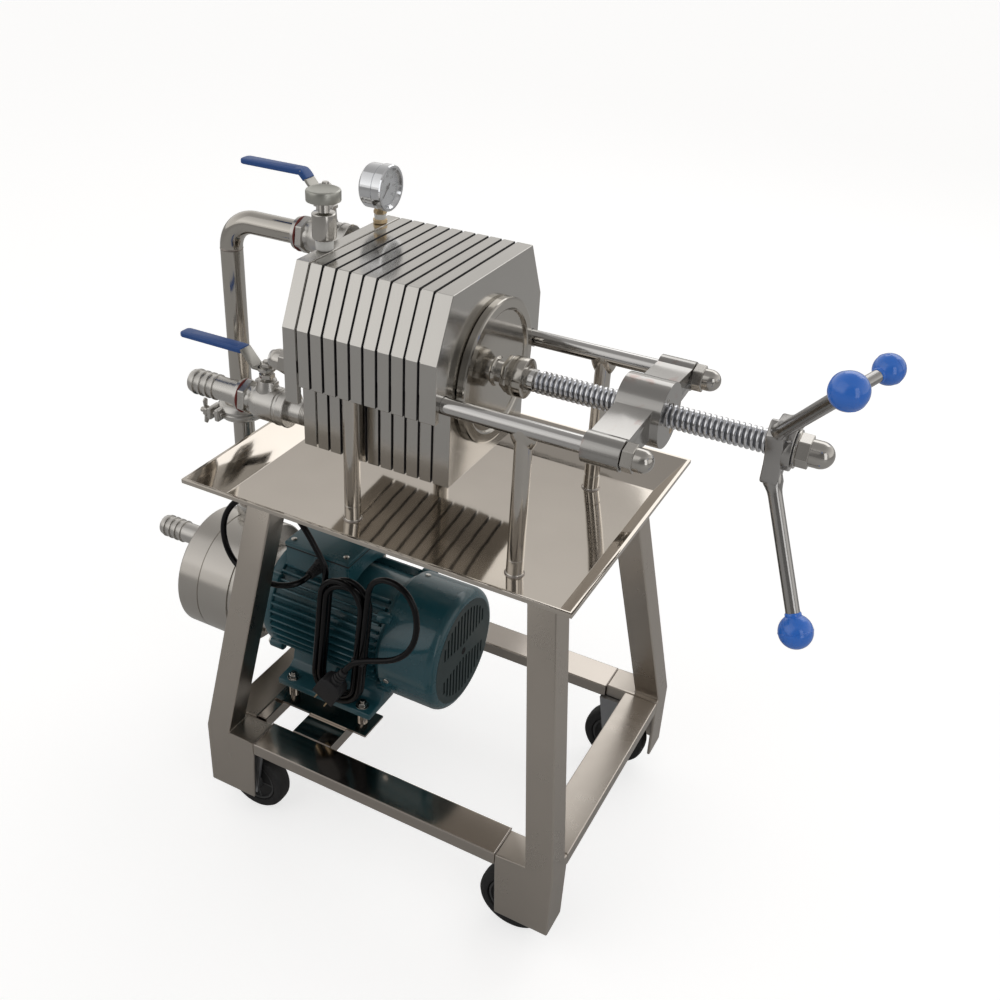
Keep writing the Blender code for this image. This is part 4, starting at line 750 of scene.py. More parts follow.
def guide_rod(node):
    """Rod with its two ends and two flared posts."""
    low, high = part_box(node)
    y = (low.y + high.y) / 2
    made = Piece(node + "_bright", "stand", "mirror_steel", node)
    bar = [(low.x + 2 * MM, 0.0), (low.x + 2 * MM, ROD), (high.x - 20 * MM, ROD), (high.x - 20 * MM, 0.0)]
    made.add(spun(bar, "X", (y, rod_z), 64), bar_steel)
    cap_nut(made, "X", (y, rod_z), high.x - 25.5 * MM, 1, 13 * MM, 10 * MM, 15.5 * MM, math.radians(12))
    cap_nut(made, "X", (y, rod_z), low.x + 25.5 * MM, -1, 13 * MM, 10 * MM, 15.5 * MM, math.radians(20))
    foot = low.z
    for x in POST_XS:
        line = profile(foot, (0, 0.6), (1, 0.5), (1.6, 0), (16, 0), (16.3, -0.4), (17, -0.4), (17.3, 0),
                       ((rod_z - foot) / MM - 1, 0), out=ROD)
        made.add(spun(line, "Z", (x, y), 48), post_steel)
        flare = [(rod_z - 20 * MM, 0.0), (rod_z - 20 * MM, FLARE * 0.60)]
        for index in range(9):
            angle = math.pi / 2 * index / 8
            sink = math.cos(angle)
            flare.append((rod_z - 3 * MM - 15 * MM * sink, FLARE * (1.0 - 0.38 * sink ** 2)))
        flare += [(rod_z, FLARE), (rod_z, 0.0)]
        saddle = spun(flare, "Z", (0.0, 0.0), 48)
        bmesh.ops.scale(saddle, verts=saddle.verts, vec=(1.0, ROD * 1.02 / FLARE, 1.0))
        bmesh.ops.translate(saddle, verts=saddle.verts, vec=(x, y, 0.0))
        made.add(saddle, post_steel)
    return made.done()


guide_rod("guide_rod_near")
guide_rod("guide_rod_far")
print("rods made")

# %% [markdown]
# ## Folded and welded steel
# The tray, the stand, the caster forks and the crosshead keep the shape of their solids. A table says how
# wide each one's edges are rounded and which steel it is. The loop does the rest, and keeps every corner
# inside the box of its solid, because a bevel on a slanted edge can push one out by a few micrometres.

# %% Solids that only need softer edges
SOFTENED = [
    ("tray", "stand", "mirror_steel", tray_steel, 0.35),
    ("crosshead", "stand", "mirror_steel", head_steel, 0.8),
    ("cross_bar_left", "stand", "satin_steel", rail_steel, 0.8),
    ("cross_bar_right", "stand", "satin_steel", rail_steel, 0.8),
    ("motor_bar_near", "stand", "satin_steel", rail_steel, 0.5),
    ("motor_bar_far", "stand", "satin_steel", rail_steel, 0.5),
    ("rail_near", "stand", "satin_steel", rail_steel, 1.2),
    ("rail_far", "stand", "satin_steel", rail_steel, 1.2),
    ("rail_left", "stand", "satin_steel", stand_steel, 1.2),
    ("rail_right", "stand", "satin_steel", stand_steel, 1.2)]
SIDES = [(near, left) for near in ("near", "far") for left in ("left", "right")]
for near, left in SIDES:
    SOFTENED.append((f"leg_{near}_{left}", "stand", "satin_steel", stand_steel, 1.4))
    SOFTENED.append((f"caster_{near}_{left}_fork", "stand", "satin_steel", zinc, 0.5))
for node, body, slot, finish, width in SOFTENED:
    shape = soften(merged(node), width * MM, 2)
    low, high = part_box(node)
    for corner in shape.verts:
        corner.co = [min(max(place, least), most) for place, least, most in zip(corner.co, low, high)]
    Piece(node + "_soft", body, slot, node).add(shape, finish).done()
print("softened:", len(SOFTENED))

# %% [markdown]
# ## The motor
# A finned iron barrel lies between two bells. The fins are separate ribs on a turned core, as on the
# casting, and they thin towards their tips. Two feet carry it, each with two bolts.

# %% Motor barrel
motor_low, motor_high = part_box("motor_body")
MOTOR_Y = (motor_low.y + motor_high.y) / 2
MOTOR_Z = motor_low.z + 71 * MM
BELL = 64 * MM
CORE = 60.5 * MM
FIN_TIP = 68 * MM
FIN_COUNT = 44
left = motor_low.x
right = motor_high.x
fin_from = left + 18 * MM
fin_to = right - 9 * MM
motor = Piece("motor_iron", "stand", "motor_green", "motor_body")
barrel_line = [(left, 0.0), (left, BELL * 0.80), (left + 1.5 * MM, BELL * 0.86),
               (left + 4 * MM, BELL * 0.96), (left + 7 * MM, BELL), (fin_from - 2 * MM, BELL),
               (fin_from - MM, BELL - MM), (fin_from - MM, CORE), (fin_to + MM, CORE),
               (fin_to + MM, BELL - MM), (fin_to + 2 * MM, BELL), (right, BELL), (right, 0.0)]
motor.add(spun(barrel_line, "X", (MOTOR_Y, MOTOR_Z), 96, 0.8 * MM), motor_paint)
for index in range(FIN_COUNT):
    angle = math.tau * (index + 0.5) / FIN_COUNT
    if math.sin(angle) > 0.90 or (math.sin(angle) < -0.45 and abs(math.cos(angle)) < 0.86):
        continue
    fin = drawn([(-1.9 * MM, CORE - MM), (1.9 * MM, CORE - MM), (1.1 * MM, FIN_TIP), (-1.1 * MM, FIN_TIP)],
                "X", fin_from, fin_to, 0.5 * MM, 1)
    turned = Matrix.Translation((0, MOTOR_Y, MOTOR_Z)) @ Matrix.Rotation(angle - math.pi / 2, 4, "X")
    motor.add(carried(fin, turned), motor_paint)
for side in (-1, 1):
    inner = MOTOR_Y + side * 30 * MM
    web = MOTOR_Y + side * 52 * MM
    outer = MOTOR_Y + side * 81 * MM
    floor_z = motor_low.z
    foot = [(inner, floor_z), (outer, floor_z), (outer, floor_z + 8 * MM),
            (web + side * 8 * MM, floor_z + 9.5 * MM), (web, floor_z + 15 * MM),
            (web - side * 4 * MM, floor_z + 30 * MM), (inner, floor_z + 30 * MM)]
    motor.add(drawn(foot, "X", left + 36 * MM, left + 158 * MM, 1.6 * MM, 3), motor_paint)
    for rib in (left + 52 * MM, left + 97 * MM, left + 142 * MM):
        gusset = [(web - side * 6 * MM, floor_z + 28 * MM), (outer - side * 6 * MM, floor_z + 9 * MM),
                  (web - side * 6 * MM, floor_z + 9 * MM)]
        if abs(rib - left - 97 * MM) < MM or side == 1:
            motor.add(drawn(gusset, "X", rib - 2.5 * MM, rib + 2.5 * MM, 0.8 * MM), motor_paint)
    for x in (left + 51 * MM, left + 143 * MM):
        for lift, radius, height in ((8.0, 7.6, 1.2), (9.2, 5.8, 4.2), (13.4, 3.0, 2.4)):
            place = (x, MOTOR_Y + side * 71 * MM)
            low = floor_z + lift * MM
            if radius == 5.8:
                motor.add(nut("Z", place, radius * MM, low, low + height * MM, 0.4, 0.5 * MM), bolt_steel)
            else:
                line = profile(low, (0, radius), (height, radius))
                motor.add(spun(line, "Z", place, 24, 0.3 * MM), bolt_steel)
BELL_BOLTS = 4
for x, way in ((left + 12 * MM, 1), (right - 4 * MM, -1)):
    for index in range(BELL_BOLTS):
        angle = math.tau * (index + 0.5) / BELL_BOLTS
        y = MOTOR_Y + (BELL + 1.5 * MM) * math.cos(angle)
        z = MOTOR_Z + (BELL + 1.5 * MM) * math.sin(angle)
        lug = profile(x, (way * -8, 6.5), (way * 9, 6.5))
        motor.add(spun(lug, "X", (y, z), 24, 1.0 * MM), motor_paint)
        if way == 1:
            start = x - way * 11 * MM
            motor.add(nut("X", (y, z), 4.6 * MM, start, x - way * 7 * MM, angle, 0.4 * MM), bolt_steel)
motor = motor.done()
print("motor made:", len(motor.data.polygons), "faces")

# %% [markdown]
# ## The terminal box
# A shallow cast box with a screwed lid. The lid overhangs by a millimetre and leaves a dark joint line.

# %% Terminal box
box_low, box_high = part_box("terminal_box")
box_piece = Piece("terminal_box_lid", "stand", "motor_green", "terminal_box")
box_piece.add(soften(merged("terminal_box"), 2.5 * MM, 3), motor_paint)
lid_low = (box_low.x - 0.8 * MM, box_low.y - 0.8 * MM, box_high.z - 6 * MM)
lid_high = (box_high.x + 0.8 * MM, box_high.y + 0.8 * MM, box_high.z - 0.2 * MM)
box_piece.add(block(lid_low, lid_high, 2.0 * MM, 3), motor_paint)
groove_low = (box_low.x - 0.2 * MM, box_low.y - 0.2 * MM, box_high.z - 7.4 * MM)
groove_high = (box_high.x + 0.2 * MM, box_high.y + 0.2 * MM, box_high.z - 5.5 * MM)
box_piece.add(block(groove_low, groove_high, 0.5 * MM), black_rubber)
for x in (box_low.x + 7 * MM, box_high.x - 7 * MM):
    for y in (box_low.y + 7 * MM, box_high.y - 7 * MM):
        head = profile(box_high.z, (-1, 3.4), (1.2, 3.2), (2, 1.8))
        box_piece.add(spun(head, "Z", (x, y), 24), bolt_steel)
boss = profile(box_low.y, (-0.2, 11), (3, 12))
box_piece.add(spun(boss, "Y", gland_centre, 32, 0.4 * MM), motor_paint)
box_piece.done()

# %% [markdown]
# ## The fan cover
# A drawn steel cup with a slotted end. The end starts as one flat disc; planes cut it where the slots
# begin and end, and the pieces inside the slots are pushed in. That way the slots are real hollows.

# %% Fan cover
cover_low, cover_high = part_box("fan_cover")
COVER = 70 * MM
FLAT = COVER * 0.86
SLOT_REACH = FLAT * 0.86
SLOT_NEAR = 9.0 * MM
SLOT_SPREAD = 0.12
SLOT_PITCH = 7.0 * MM
SLOT_WIDTH = 3.2 * MM
SLOT_COUNT = 13
SLOT_DEPTH = 6.0 * MM
cover = Piece("fan_cover_drawn", "stand", "motor_green", "fan_cover")
rim = cover_high.x
cup = [(cover_low.x, 0.0), (cover_low.x, COVER), (rim - 11 * MM, COVER)]
for index in range(1, 13):
    angle = math.pi / 2 * index / 12
    cup.append((rim - 11 * MM * (1 - math.sin(angle)), FLAT + (COVER - FLAT) * math.cos(angle)))
cup_shape = spun(cup, "X", (MOTOR_Y, MOTOR_Z), 96)
cover.add(cup_shape, cover_paint)
grille = bmesh.new()
bmesh.ops.create_circle(grille, cap_ends=True, segments=96, radius=FLAT)


def cut(shape, place, normal):
    """Split every face of a flat shape along a plane."""
    bmesh.ops.bisect_plane(shape, geom=shape.verts[:] + shape.edges[:] + shape.faces[:], dist=MM / 1000,
                           plane_co=place, plane_no=normal)


slot_middles = [(index - (SLOT_COUNT - 1) / 2) * SLOT_PITCH for index in range(SLOT_COUNT)]
for middle in slot_middles:
    cut(grille, (middle - SLOT_WIDTH / 2, 0, 0), (1, 0, 0))
    cut(grille, (middle + SLOT_WIDTH / 2, 0, 0), (1, 0, 0))
slots = []
for middle in slot_middles:
    far_end = math.sqrt(SLOT_REACH ** 2 - middle ** 2)
    near_end = SLOT_NEAR + abs(middle) * SLOT_SPREAD
    for end in (near_end, far_end, -near_end, -far_end):
        row = [face for face in grille.faces if abs(face.calc_center_median().x - middle) < SLOT_WIDTH / 4]
        corners = {vert for face in row for vert in face.verts}
        sides = {edge for face in row for edge in face.edges}
        bmesh.ops.bisect_plane(grille, geom=row + list(sides) + list(corners), dist=MM / 1000,
                               plane_co=(0, end, 0), plane_no=(0, 1, 0))
for face in grille.faces:
    middle = face.calc_center_median()
    column = min(slot_middles, key=lambda place: abs(middle.x - place))
    far_end = math.sqrt(SLOT_REACH ** 2 - column ** 2)
    near_end = SLOT_NEAR + abs(column) * SLOT_SPREAD
    if abs(middle.x - column) < SLOT_WIDTH / 4 and near_end < abs(middle.y) < far_end:
        slots.append(face)
for face in slots:
    pushed = bmesh.ops.extrude_discrete_faces(grille, faces=[face])["faces"]
    bmesh.ops.translate(grille, verts=pushed[0].verts[:], vec=(0, 0, -SLOT_DEPTH))
bmesh.ops.recalc_face_normals(grille, faces=grille.faces)
upright = Matrix.Rotation(math.pi / 2, 4, "X") @ Matrix.Rotation(math.pi / 2, 4, "Y")
turned = Matrix.Translation((rim + 0.15 * MM, MOTOR_Y, MOTOR_Z)) @ upright
cover.add(carried(grille, turned), grille_paint)
eye = profile(rim, (0, 4.2), (0.5, 4), (0.5, 2.4), (0.2, 2.2))
# The eye is a thin near-black disc: painted shade where the cover's middle hole is.
cover.add(spun(eye, "X", (MOTOR_Y, MOTOR_Z), 24), bore_shade)
COVER_SCREWS = 3
for index in range(COVER_SCREWS):
    angle = math.tau * (index + 0.62) / COVER_SCREWS
    y = MOTOR_Y + (COVER - 0.6 * MM) * math.cos(angle)
    z = MOTOR_Z + (COVER - 0.6 * MM) * math.sin(angle)
    screw = nut("Z", (0.0, 0.0), 3.6 * MM, -0.5 * MM, 2.0 * MM, 0.0, 0.4 * MM)
    aim = Matrix.Translation((cover_low.x + 9 * MM, y, z)) @ Matrix.Rotation(angle - math.pi / 2, 4, "X")
    cover.add(carried(screw, aim), bolt_steel)
cover.done()
print("slots:", len(slots))

# %% [markdown]
# ## The pump
# A polished drum with a rolled edge at its front and a clamped joint round its middle. The hose tail on
# its face has rings that rise gently and drop sharply, so a hose goes on and stays on.

# %% Pump drum and lantern
pump_low, pump_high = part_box("pump_casing")
PUMP = 72.5 * MM
PUMP_Z = MOTOR_Z - 7 * MM
drum_left = pump_low.x
drum_right = drum_left + 81 * MM
pump = Piece("pump_drum", "stand", "mirror_steel", "pump_casing")
drum_line = profile(drum_left, (0, -9), (0.6, -6.5), (2, -3.5), (2.6, -1.2), (4.2, 0), (31, 0),
                    (31.4, -0.9), (32.4, -0.9), (32.8, 0), (73, 0), (73.5, -1.5), (75.5, -1.5),
                    (76, 0), (79.5, 0), (81, -1.5), out=PUMP)
pump.add(spun(drum_line, "X", (MOTOR_Y, PUMP_Z), 128), drum_steel)
lantern = [(drum_right - MM, 0.0), (drum_right - MM, 46 * MM), (drum_right + 9 * MM, 46 * MM),
           (drum_right + 12 * MM, 51.5 * MM), (pump_high.x, 51.5 * MM), (pump_high.x, 0.0)]
pump.add(spun(lantern, "X", (MOTOR_Y, PUMP_Z), 96, 0.8 * MM), cast_steel)
LANTERN_BOLTS = 6
for index in range(LANTERN_BOLTS):
    angle = math.tau * (index + 0.25) / LANTERN_BOLTS
    place = (MOTOR_Y + 59 * MM * math.cos(angle), PUMP_Z + 59 * MM * math.sin(angle))
    pump.add(nut("X", place, 5.6 * MM, drum_right - MM, drum_right + 4.4 * MM, angle, 0.5 * MM), bolt_steel)
riser_low, riser_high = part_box("riser_pipe")
PIPE = 11.8 * MM
RISER_X = riser_low.x + PIPE
RISER_Y = (riser_low.y + riser_high.y) / 2
port = [(PUMP_Z, 0.0), (PUMP_Z, 15 * MM), (riser_low.z - 12 * MM, 14 * MM), (riser_low.z - 11 * MM, 15 * MM),
        (riser_low.z, 15 * MM), (riser_low.z, 0.0)]
pump.add(spun(port, "Z", (RISER_X, RISER_Y), 48, 0.6 * MM), cast_steel)
pump.done()

# %% [markdown]
# ## Hose tails
# Both tails are the same turned part in two lengths, so one profile serves them.

# %% Hose tails


def hose_tail(name, node, centre, root, length, boss):
    """Ringed tail that points to -X from its root, with an open bore."""
    made = Piece(name, "stand", "satin_steel", node)
    line = [(root, 0.0), (root, boss), (root - 9.6 * MM, boss), (root - 10 * MM, 12.2 * MM)]
    tip = root - length
    rings = 4
    pitch = 8.2 * MM
    for ring in range(rings):
        start = tip + (rings - ring) * pitch
        line += [(start, 12.2 * MM), (start - 0.5 * MM, 13.5 * MM), (start - 2.2 * MM, 13.5 * MM),
                 (start - 5.5 * MM, 12.3 * MM)]
    line += [(tip + 0.8 * MM, 11.8 * MM), (tip, 11.2 * MM), (tip, 9.8 * MM), (tip + MM, 9.2 * MM),
             (tip + 26 * MM, 9.2 * MM), (tip + 26 * MM, 0.0)]
    made.add(spun(line, "X", centre, 64), cast_steel)
    return made.done()


inlet_low, inlet_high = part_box("pump_inlet")
hose_tail("pump_inlet_tail", "pump_inlet", (MOTOR_Y, (inlet_low.z + inlet_high.z) / 2), inlet_high.x,
          inlet_high.x - inlet_low.x, 16 * MM)
outlet_low, outlet_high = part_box("outlet_tail")
OUTLET_Y = (outlet_low.y + outlet_high.y) / 2
OUTLET_Z = (outlet_low.z + outlet_high.z) / 2
hose_tail("outlet_hose_tail", "outlet_tail", (OUTLET_Y, OUTLET_Z), outlet_high.x,
          outlet_high.x - outlet_low.x, 12.8 * MM)
print("pump and tails made")

# %% [markdown]
# ## The riser pipe
# One pipe comes up from the pump and bends over to the valve. Its bend is a quarter circle of the same
# radius as the solid's, cut into enough steps that the reflection runs round it without a break.

# %% Riser pipe
PIPE_Z = riser_high.z - PIPE
BEND = 32 * MM
union_x = riser_high.x
corner = (RISER_X + BEND, PIPE_Z - BEND)
pipe_way = [(RISER_X, RISER_Y, riser_low.z)]
for index in range(21):
    angle = math.pi - math.pi / 2 * index / 20
    pipe_way.append((corner[0] + BEND * math.cos(angle), RISER_Y, corner[1] + BEND * math.sin(angle)))
pipe_way.append((union_x, RISER_Y, PIPE_Z))
riser = Piece("riser_pipe_bent", "stand", "mirror_steel", "riser_pipe")
riser.add(tube(pipe_way, PIPE, 48), pipe_steel)
for height in (riser_low.z + 1.5 * MM, corner[1]):
    bead = profile(height, (-1.2, 0), (0, 0.35), (1.2, 0), out=PIPE)
    riser.add(spun(bead, "Z", (RISER_X, RISER_Y), 48), weld_steel)
riser.done()

# %% [markdown]
# ## The sanitary clamp
# Two half rings squeeze a joint in the riser. A bolt with a wing nut closes them. A groove runs
# round the jaws, and the wings are two rounded flaps on the nut.

# %% Pipe clamp
clamp_low, clamp_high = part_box("pipe_clamp")
CLAMP = 28 * MM
clamp_z = (clamp_low.z + clamp_high.z) / 2
clamp = Piece("pipe_clamp_jaws", "stand", "satin_steel", "pipe_clamp")
jaw_half = (clamp_high.z - clamp_z) / MM
jaw = mirrored(clamp_z, -1.6, (jaw_half, -4.48), (jaw_half - 2.5, -1.96), (jaw_half - 5.5, -0.3), (1, -0.3),
               out=CLAMP)
clamp.add(spun(jaw, "Z", (RISER_X, RISER_Y), 72, 0.5 * MM), cast_steel)
for height in (clamp_low.z - 2.2 * MM, clamp_high.z + 0.2 * MM):
    ferrule = profile(height, (0, 20), (2, 20))
    clamp.add(spun(ferrule, "Z", (RISER_X, RISER_Y), 64, 0.5 * MM), mirror_steel)
ear_x = RISER_X - 15 * MM
ear_y = RISER_Y - CLAMP
for side in (-1, 1):
    x = ear_x + side * 5.2 * MM
    ear = block((x - 3 * MM, ear_y - 7 * MM, clamp_low.z + 2 * MM),
                (x + 3 * MM, ear_y + 12 * MM, clamp_high.z - 2 * MM), 1.8 * MM, 3)
    clamp.add(ear, cast_steel)
bolt = profile(ear_x, (-19, 3), (10, 3))
clamp.add(spun(bolt, "X", (ear_y - MM, clamp_z), 24, 0.4 * MM), bolt_steel)
wing_nut = nut("X", (ear_y - MM, clamp_z), 6.5 * MM, ear_x - 13.5 * MM, ear_x - 8.2 * MM, 0.3, 0.8 * MM)
clamp.add(wing_nut, bolt_steel)
for side in (-1, 1):
    wing = [(ear_y - MM - 2 * MM, clamp_z + side * 3 * MM), (ear_y + MM, clamp_z + side * 3 * MM),
            (ear_y + 2.5 * MM, clamp_z + side * 13 * MM), (ear_y - MM, clamp_z + side * 16 * MM),
            (ear_y - 4.5 * MM, clamp_z + side * 13 * MM)]
    clamp.add(drawn(wing, "X", ear_x - 14.5 * MM, ear_x - 12 * MM, 0.9 * MM, 3), cast_steel)
clamp.done()

# %% [markdown]
# ## The ball valves
# Each valve is a rough casting screwed together from two parts: a body with a true hexagon at its inlet,
# and a round cap with a rib at each edge. A cast neck carries the stem. Red-brown sealant shows at the
# joint before the hexagon, and the last turns of the nipple's thread show where it enters the head.

# %% Ball valves


def ball_valve(node, y, z):
    """Ball valve along X: collar, sealant, hexagon, body, cap, nipple and neck."""
    low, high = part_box(node)
    left = low.x
    middle = left + 34 * MM
    centre = (y, z)
    made = Piece(node + "_cast", "stand", "satin_steel", node)
    collar = profile(left, (0, 15.2), (0.8, 16.4), (4.6, 16.4))
    made.add(spun(collar, "X", centre, 64), cast_steel)
    ring = profile(left, (4.4, 16.6), (5.1, 17.6), (6.2, 17.5), (6.8, 16.4))
    made.add(spun(ring, "X", centre, 64), sealant)
    hexagon = nut("X", centre, 18.6 * MM, left + 6.4 * MM, left + 14.5 * MM, math.radians(21), 0.9 * MM)
    made.add(hexagon, cast_steel)
    body = profile(middle, (-20, 15), (-17.5, 14.6), (-14, 15.4), (-10.5, 17.4), (-6, 18.4), (15, 18.4),
                   (16, 17.4), (17, 17.4))
    made.add(spun(body, "X", centre, 64), cast_steel)
    cap = profile(middle, (16.8, 18.6), (17.4, 19.2), (19.6, 19.2), (20.2, 18.5), (25.6, 18.5),
                  (26.2, 19.2), (28.4, 19.2), (29, 18.4))
    made.add(spun(cap, "X", centre, 64), cast_steel)
    nipple = [(middle + 28 * MM, 0.0), (middle + 28 * MM, 12.5 * MM)]
    for turn in range(5):
        start = high.x - (9.0 - turn * 1.8) * MM
        nipple += [(start, 12.5 * MM), (start + 0.5 * MM, 11.6 * MM), (start + 1.1 * MM, 11.6 * MM),
                   (start + 1.6 * MM, 12.5 * MM)]
    nipple += [(high.x, 12.0 * MM), (high.x, 0.0)]
    made.add(spun(nipple, "X", centre, 48), cast_steel)
    shoulder = high.z - 9 * MM
    neck = [(z, 0.0), (z, 12 * MM), (z + 16 * MM, 12 * MM), (z + 20 * MM, 10.4 * MM),
            (shoulder - MM, 9.5 * MM), (shoulder, 9.1 * MM), (shoulder, 0.0)]
    made.add(spun(neck, "Z", (middle, y), 48), cast_steel)
    stem = profile(shoulder, (-1, 4.5), (9, 4.5))
    made.add(spun(stem, "Z", (middle, y), 24), bolt_steel)
    stop = block((middle - 12 * MM, y - 5 * MM, shoulder - 5 * MM),
                 (middle + 11 * MM, y + 5 * MM, shoulder - MM), 1.2 * MM, 3)
    made.add(stop, cast_steel)
    return made.done()


ball_valve("delivery_valve", RISER_Y, PIPE_Z)
ball_valve("outlet_valve", OUTLET_Y, OUTLET_Z)

# %% [markdown]
# ## The levers
# A bare steel crank leaves the stem and ends in a blue vinyl grip. The grip is a row of rounded rings
# bridged together, tipped over where the strip bends, so it hugs the bend as dipped vinyl does.

# %% Levers
strip_steel = steel("strip_steel", (0.40, 0.39, 0.36), 0.30, 0.14, EVEN, grain=0.0009, relief=0.00002)
VALVES = [("delivery_lever", "delivery_lever_body", "delivery_valve", RISER_Y),
          ("outlet_lever", "outlet_lever_body", "outlet_valve", OUTLET_Y)]


def lever(node, body, valve, y):
    """Cranked steel strip with a vinyl grip over its outer end, and the nut that holds it."""
    low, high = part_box(node)
    hub = high.x - 9 * MM
    made = Piece(node + "_strip", body, "blue_vinyl", node)
    base = low.z + 1.2 * MM
    top = high.z - 3.8 * MM
    sheet = 2.6 * MM
    strip = [(high.x - 3 * MM, base), (high.x - 3 * MM, base + sheet), (hub - 11.4 * MM, base + sheet),
             (hub - 24.4 * MM, top + sheet), (hub - 40 * MM, top + sheet), (hub - 40 * MM, top),
             (hub - 25.6 * MM, top), (hub - 12.6 * MM, base)]
    made.add(drawn(strip, "Y", y - 7.4 * MM, y + 7.4 * MM, 0.5 * MM), strip_steel)
    collar = profile(base, (-0.6, 8.9), (sheet / MM, 8.9))
    made.add(spun(collar, "Z", (hub, y), 48, 0.4 * MM), cast_steel)
    tip = low.x
    flat = high.z - 3.1 * MM
    stations = [(tip, 2.0, 0.8, 0.0, 0), (tip + 0.8 * MM, 4.6, 1.9, 0.0, 0),
                (tip + 2.4 * MM, 6.6, 2.8, 0.0, 0), (tip + 5 * MM, 7.8, 3.1, 0.0, 0),
                (hub - 40 * MM, 7.9, 3.1, 0.0, 0), (hub - 28 * MM, 7.8, 3.1, 0.0, 0)]
    if node == "outlet_lever":
        stations += [(hub - 26.2 * MM, 7.7, 3.0, 0.1, 8), (hub - 25.6 * MM, 7.2, 2.4, 0.2, 12)]
    else:
        stations += [(hub - 26 * MM, 7.7, 3.0, 0.1, 14), (hub - 24 * MM, 7.7, 3.0, 1.4, 34),
                     (hub - 22.4 * MM, 7.7, 3.0, 3.0, 49), (hub - 19.8 * MM, 7.6, 2.9, 6.0, 49),
                     (hub - 19.4 * MM, 7.1, 2.3, 6.5, 49)]
    rings = []
    for x, wide, thick, sink, tilt in stations:
        ring = []
        lean = math.radians(tilt)
        for _, point_y, lift in oval((0.0, 0.0, 0.0), wide * MM, thick * MM):
            ring.append((x + lift * math.sin(lean), y + point_y, flat - sink * MM + lift * math.cos(lean)))
        rings.append(ring)
    made.add(skinned(rings), blue_vinyl)
    panel = block((tip + 14 * MM, y - 4.6 * MM, high.z - 0.5 * MM),
                  (hub - 32 * MM, y + 4.6 * MM, high.z + 0.1 * MM), 0.2 * MM)
    made.add(panel, blue_vinyl)
    washer = base + sheet
    disc = profile(washer, (0, 7), (1, 7))
    made.add(spun(disc, "Z", (hub, y), 36, 0.2 * MM), bolt_steel)
    made.add(nut("Z", (hub, y), 6.4 * MM, washer + MM, washer + 5 * MM, 0.35, 0.6 * MM), bolt_steel)
    stem = profile(washer, (4, 3.6), (7, 3.2))
    made.add(spun(stem, "Z", (hub, y), 24), bolt_steel)
    made.done()
    gland_nut = Piece(valve + "_gland", "stand", "satin_steel")
    seat = low.z - 7.5 * MM
    gland_nut.add(nut("Z", (hub, y), 8.2 * MM, seat, seat + 5 * MM, 0.5, 0.7 * MM), bolt_steel)
    gland_nut.done()


for row in VALVES:
    lever(*row)
print("valves dressed")

# %% [markdown]
# ## Vent and gauge
# Both screw into the top of the fixed head. White tape shows at the vent's thread and above the gauge's
# brass hexagon. The gauge is a cup with a dial, ticks, a pointer and a thin glass, each a real solid.

# %% Vent
cap_steel = steel("cap_steel", (0.50, 0.50, 0.46), 0.30, 0.10, EVEN, relief=0.000012)
vent_low, vent_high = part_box("vent")
VENT_X = (vent_low.x + vent_high.x) / 2
VENT_Y = (vent_low.y + vent_high.y) / 2
seat = vent_low.z
vent = Piece("vent_turned", "stand", "mirror_steel", "vent")
taped = profile(seat, (0, 6.6), (1.5, 8.2), (9.5, 8.6), (11, 7.6))
vent.add(spun(taped, "Z", (VENT_X, VENT_Y), 48, 0.4 * MM), white_tape)
vent_body = profile(seat, (10.5, 10.4), (12, 11.3), (34, 11.3), (35, 10.4), (35.4, 5.2), (46.5, 5.2))
vent.add(spun(vent_body, "Z", (VENT_X, VENT_Y), 64, 0.3 * MM), bolt_steel)
CAP = 16.2 * MM
CAP_FROM = seat + 45.6 * MM
CAP_TO = seat + 56.4 * MM
vent_cap = [(CAP_FROM, 0.0), (CAP_FROM, CAP - 0.9 * MM), (CAP_FROM + 0.3 * MM, CAP - 0.3 * MM),
            (CAP_FROM + 0.8 * MM, CAP - 0.1 * MM), (CAP_TO - 2.2 * MM, CAP),
            (CAP_TO - 0.7 * MM, CAP - 0.5 * MM), (CAP_TO, CAP - 1.8 * MM),
            (CAP_TO - 0.3 * MM, CAP - 3.4 * MM), (CAP_TO - 0.7 * MM, CAP - 4.6 * MM),
            (CAP_TO - 0.8 * MM, 0.0)]
vent.add(spun(vent_cap, "Z", (VENT_X, VENT_Y), 72), cap_steel)
vent.done()

# %% Gauge
gauge_low, gauge_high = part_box("gauge")
GAUGE_Y = (gauge_low.y + gauge_high.y) / 2
CASE_SHARE = 0.93
GAUGE_Z = gauge_high.z - (gauge_high.y - gauge_low.y) / 2
GAUGE_R = (gauge_high.y - gauge_low.y) / 2 * CASE_SHARE
stem_x = (gauge_low.x + gauge_high.x) / 2
front = gauge_high.x
depth = (front - gauge_low.x) / MM
gauge = Piece("gauge_case", "stand", "steel_gauge", "gauge")
case = profile(front, (-depth, -4), (1.5 - depth, -2), (3 - depth, -0.9), (-11, -0.9), (-10.6, -1.6),
               (-9.8, -1.6), (-9.4, 0), (-1, 0), (0, -0.9), (-0.2, -3), (-3.4, -5.4), (-5, -5.6),
               out=GAUGE_R)
gauge.add(spun(case, "X", (GAUGE_Y, GAUGE_Z), 96), chrome)
dial_x = front - 5 * MM
dial = profile(dial_x, (-0.2, -5.7), (0.15, -5.7), out=GAUGE_R)
gauge.add(spun(dial, "X", (GAUGE_Y, GAUGE_Z), 64), dial_paper)
TICKS = 31
SWEEP = math.radians(270)


def on_dial(angle, out, along):
    """Matrix that puts a flat mark on the dial, out from its middle at an angle from the top."""
    turn = Matrix.Rotation(-angle, 4, "X")
    return Matrix.Translation((dial_x + along, GAUGE_Y, GAUGE_Z)) @ turn @ Matrix.Translation((0, 0, out))


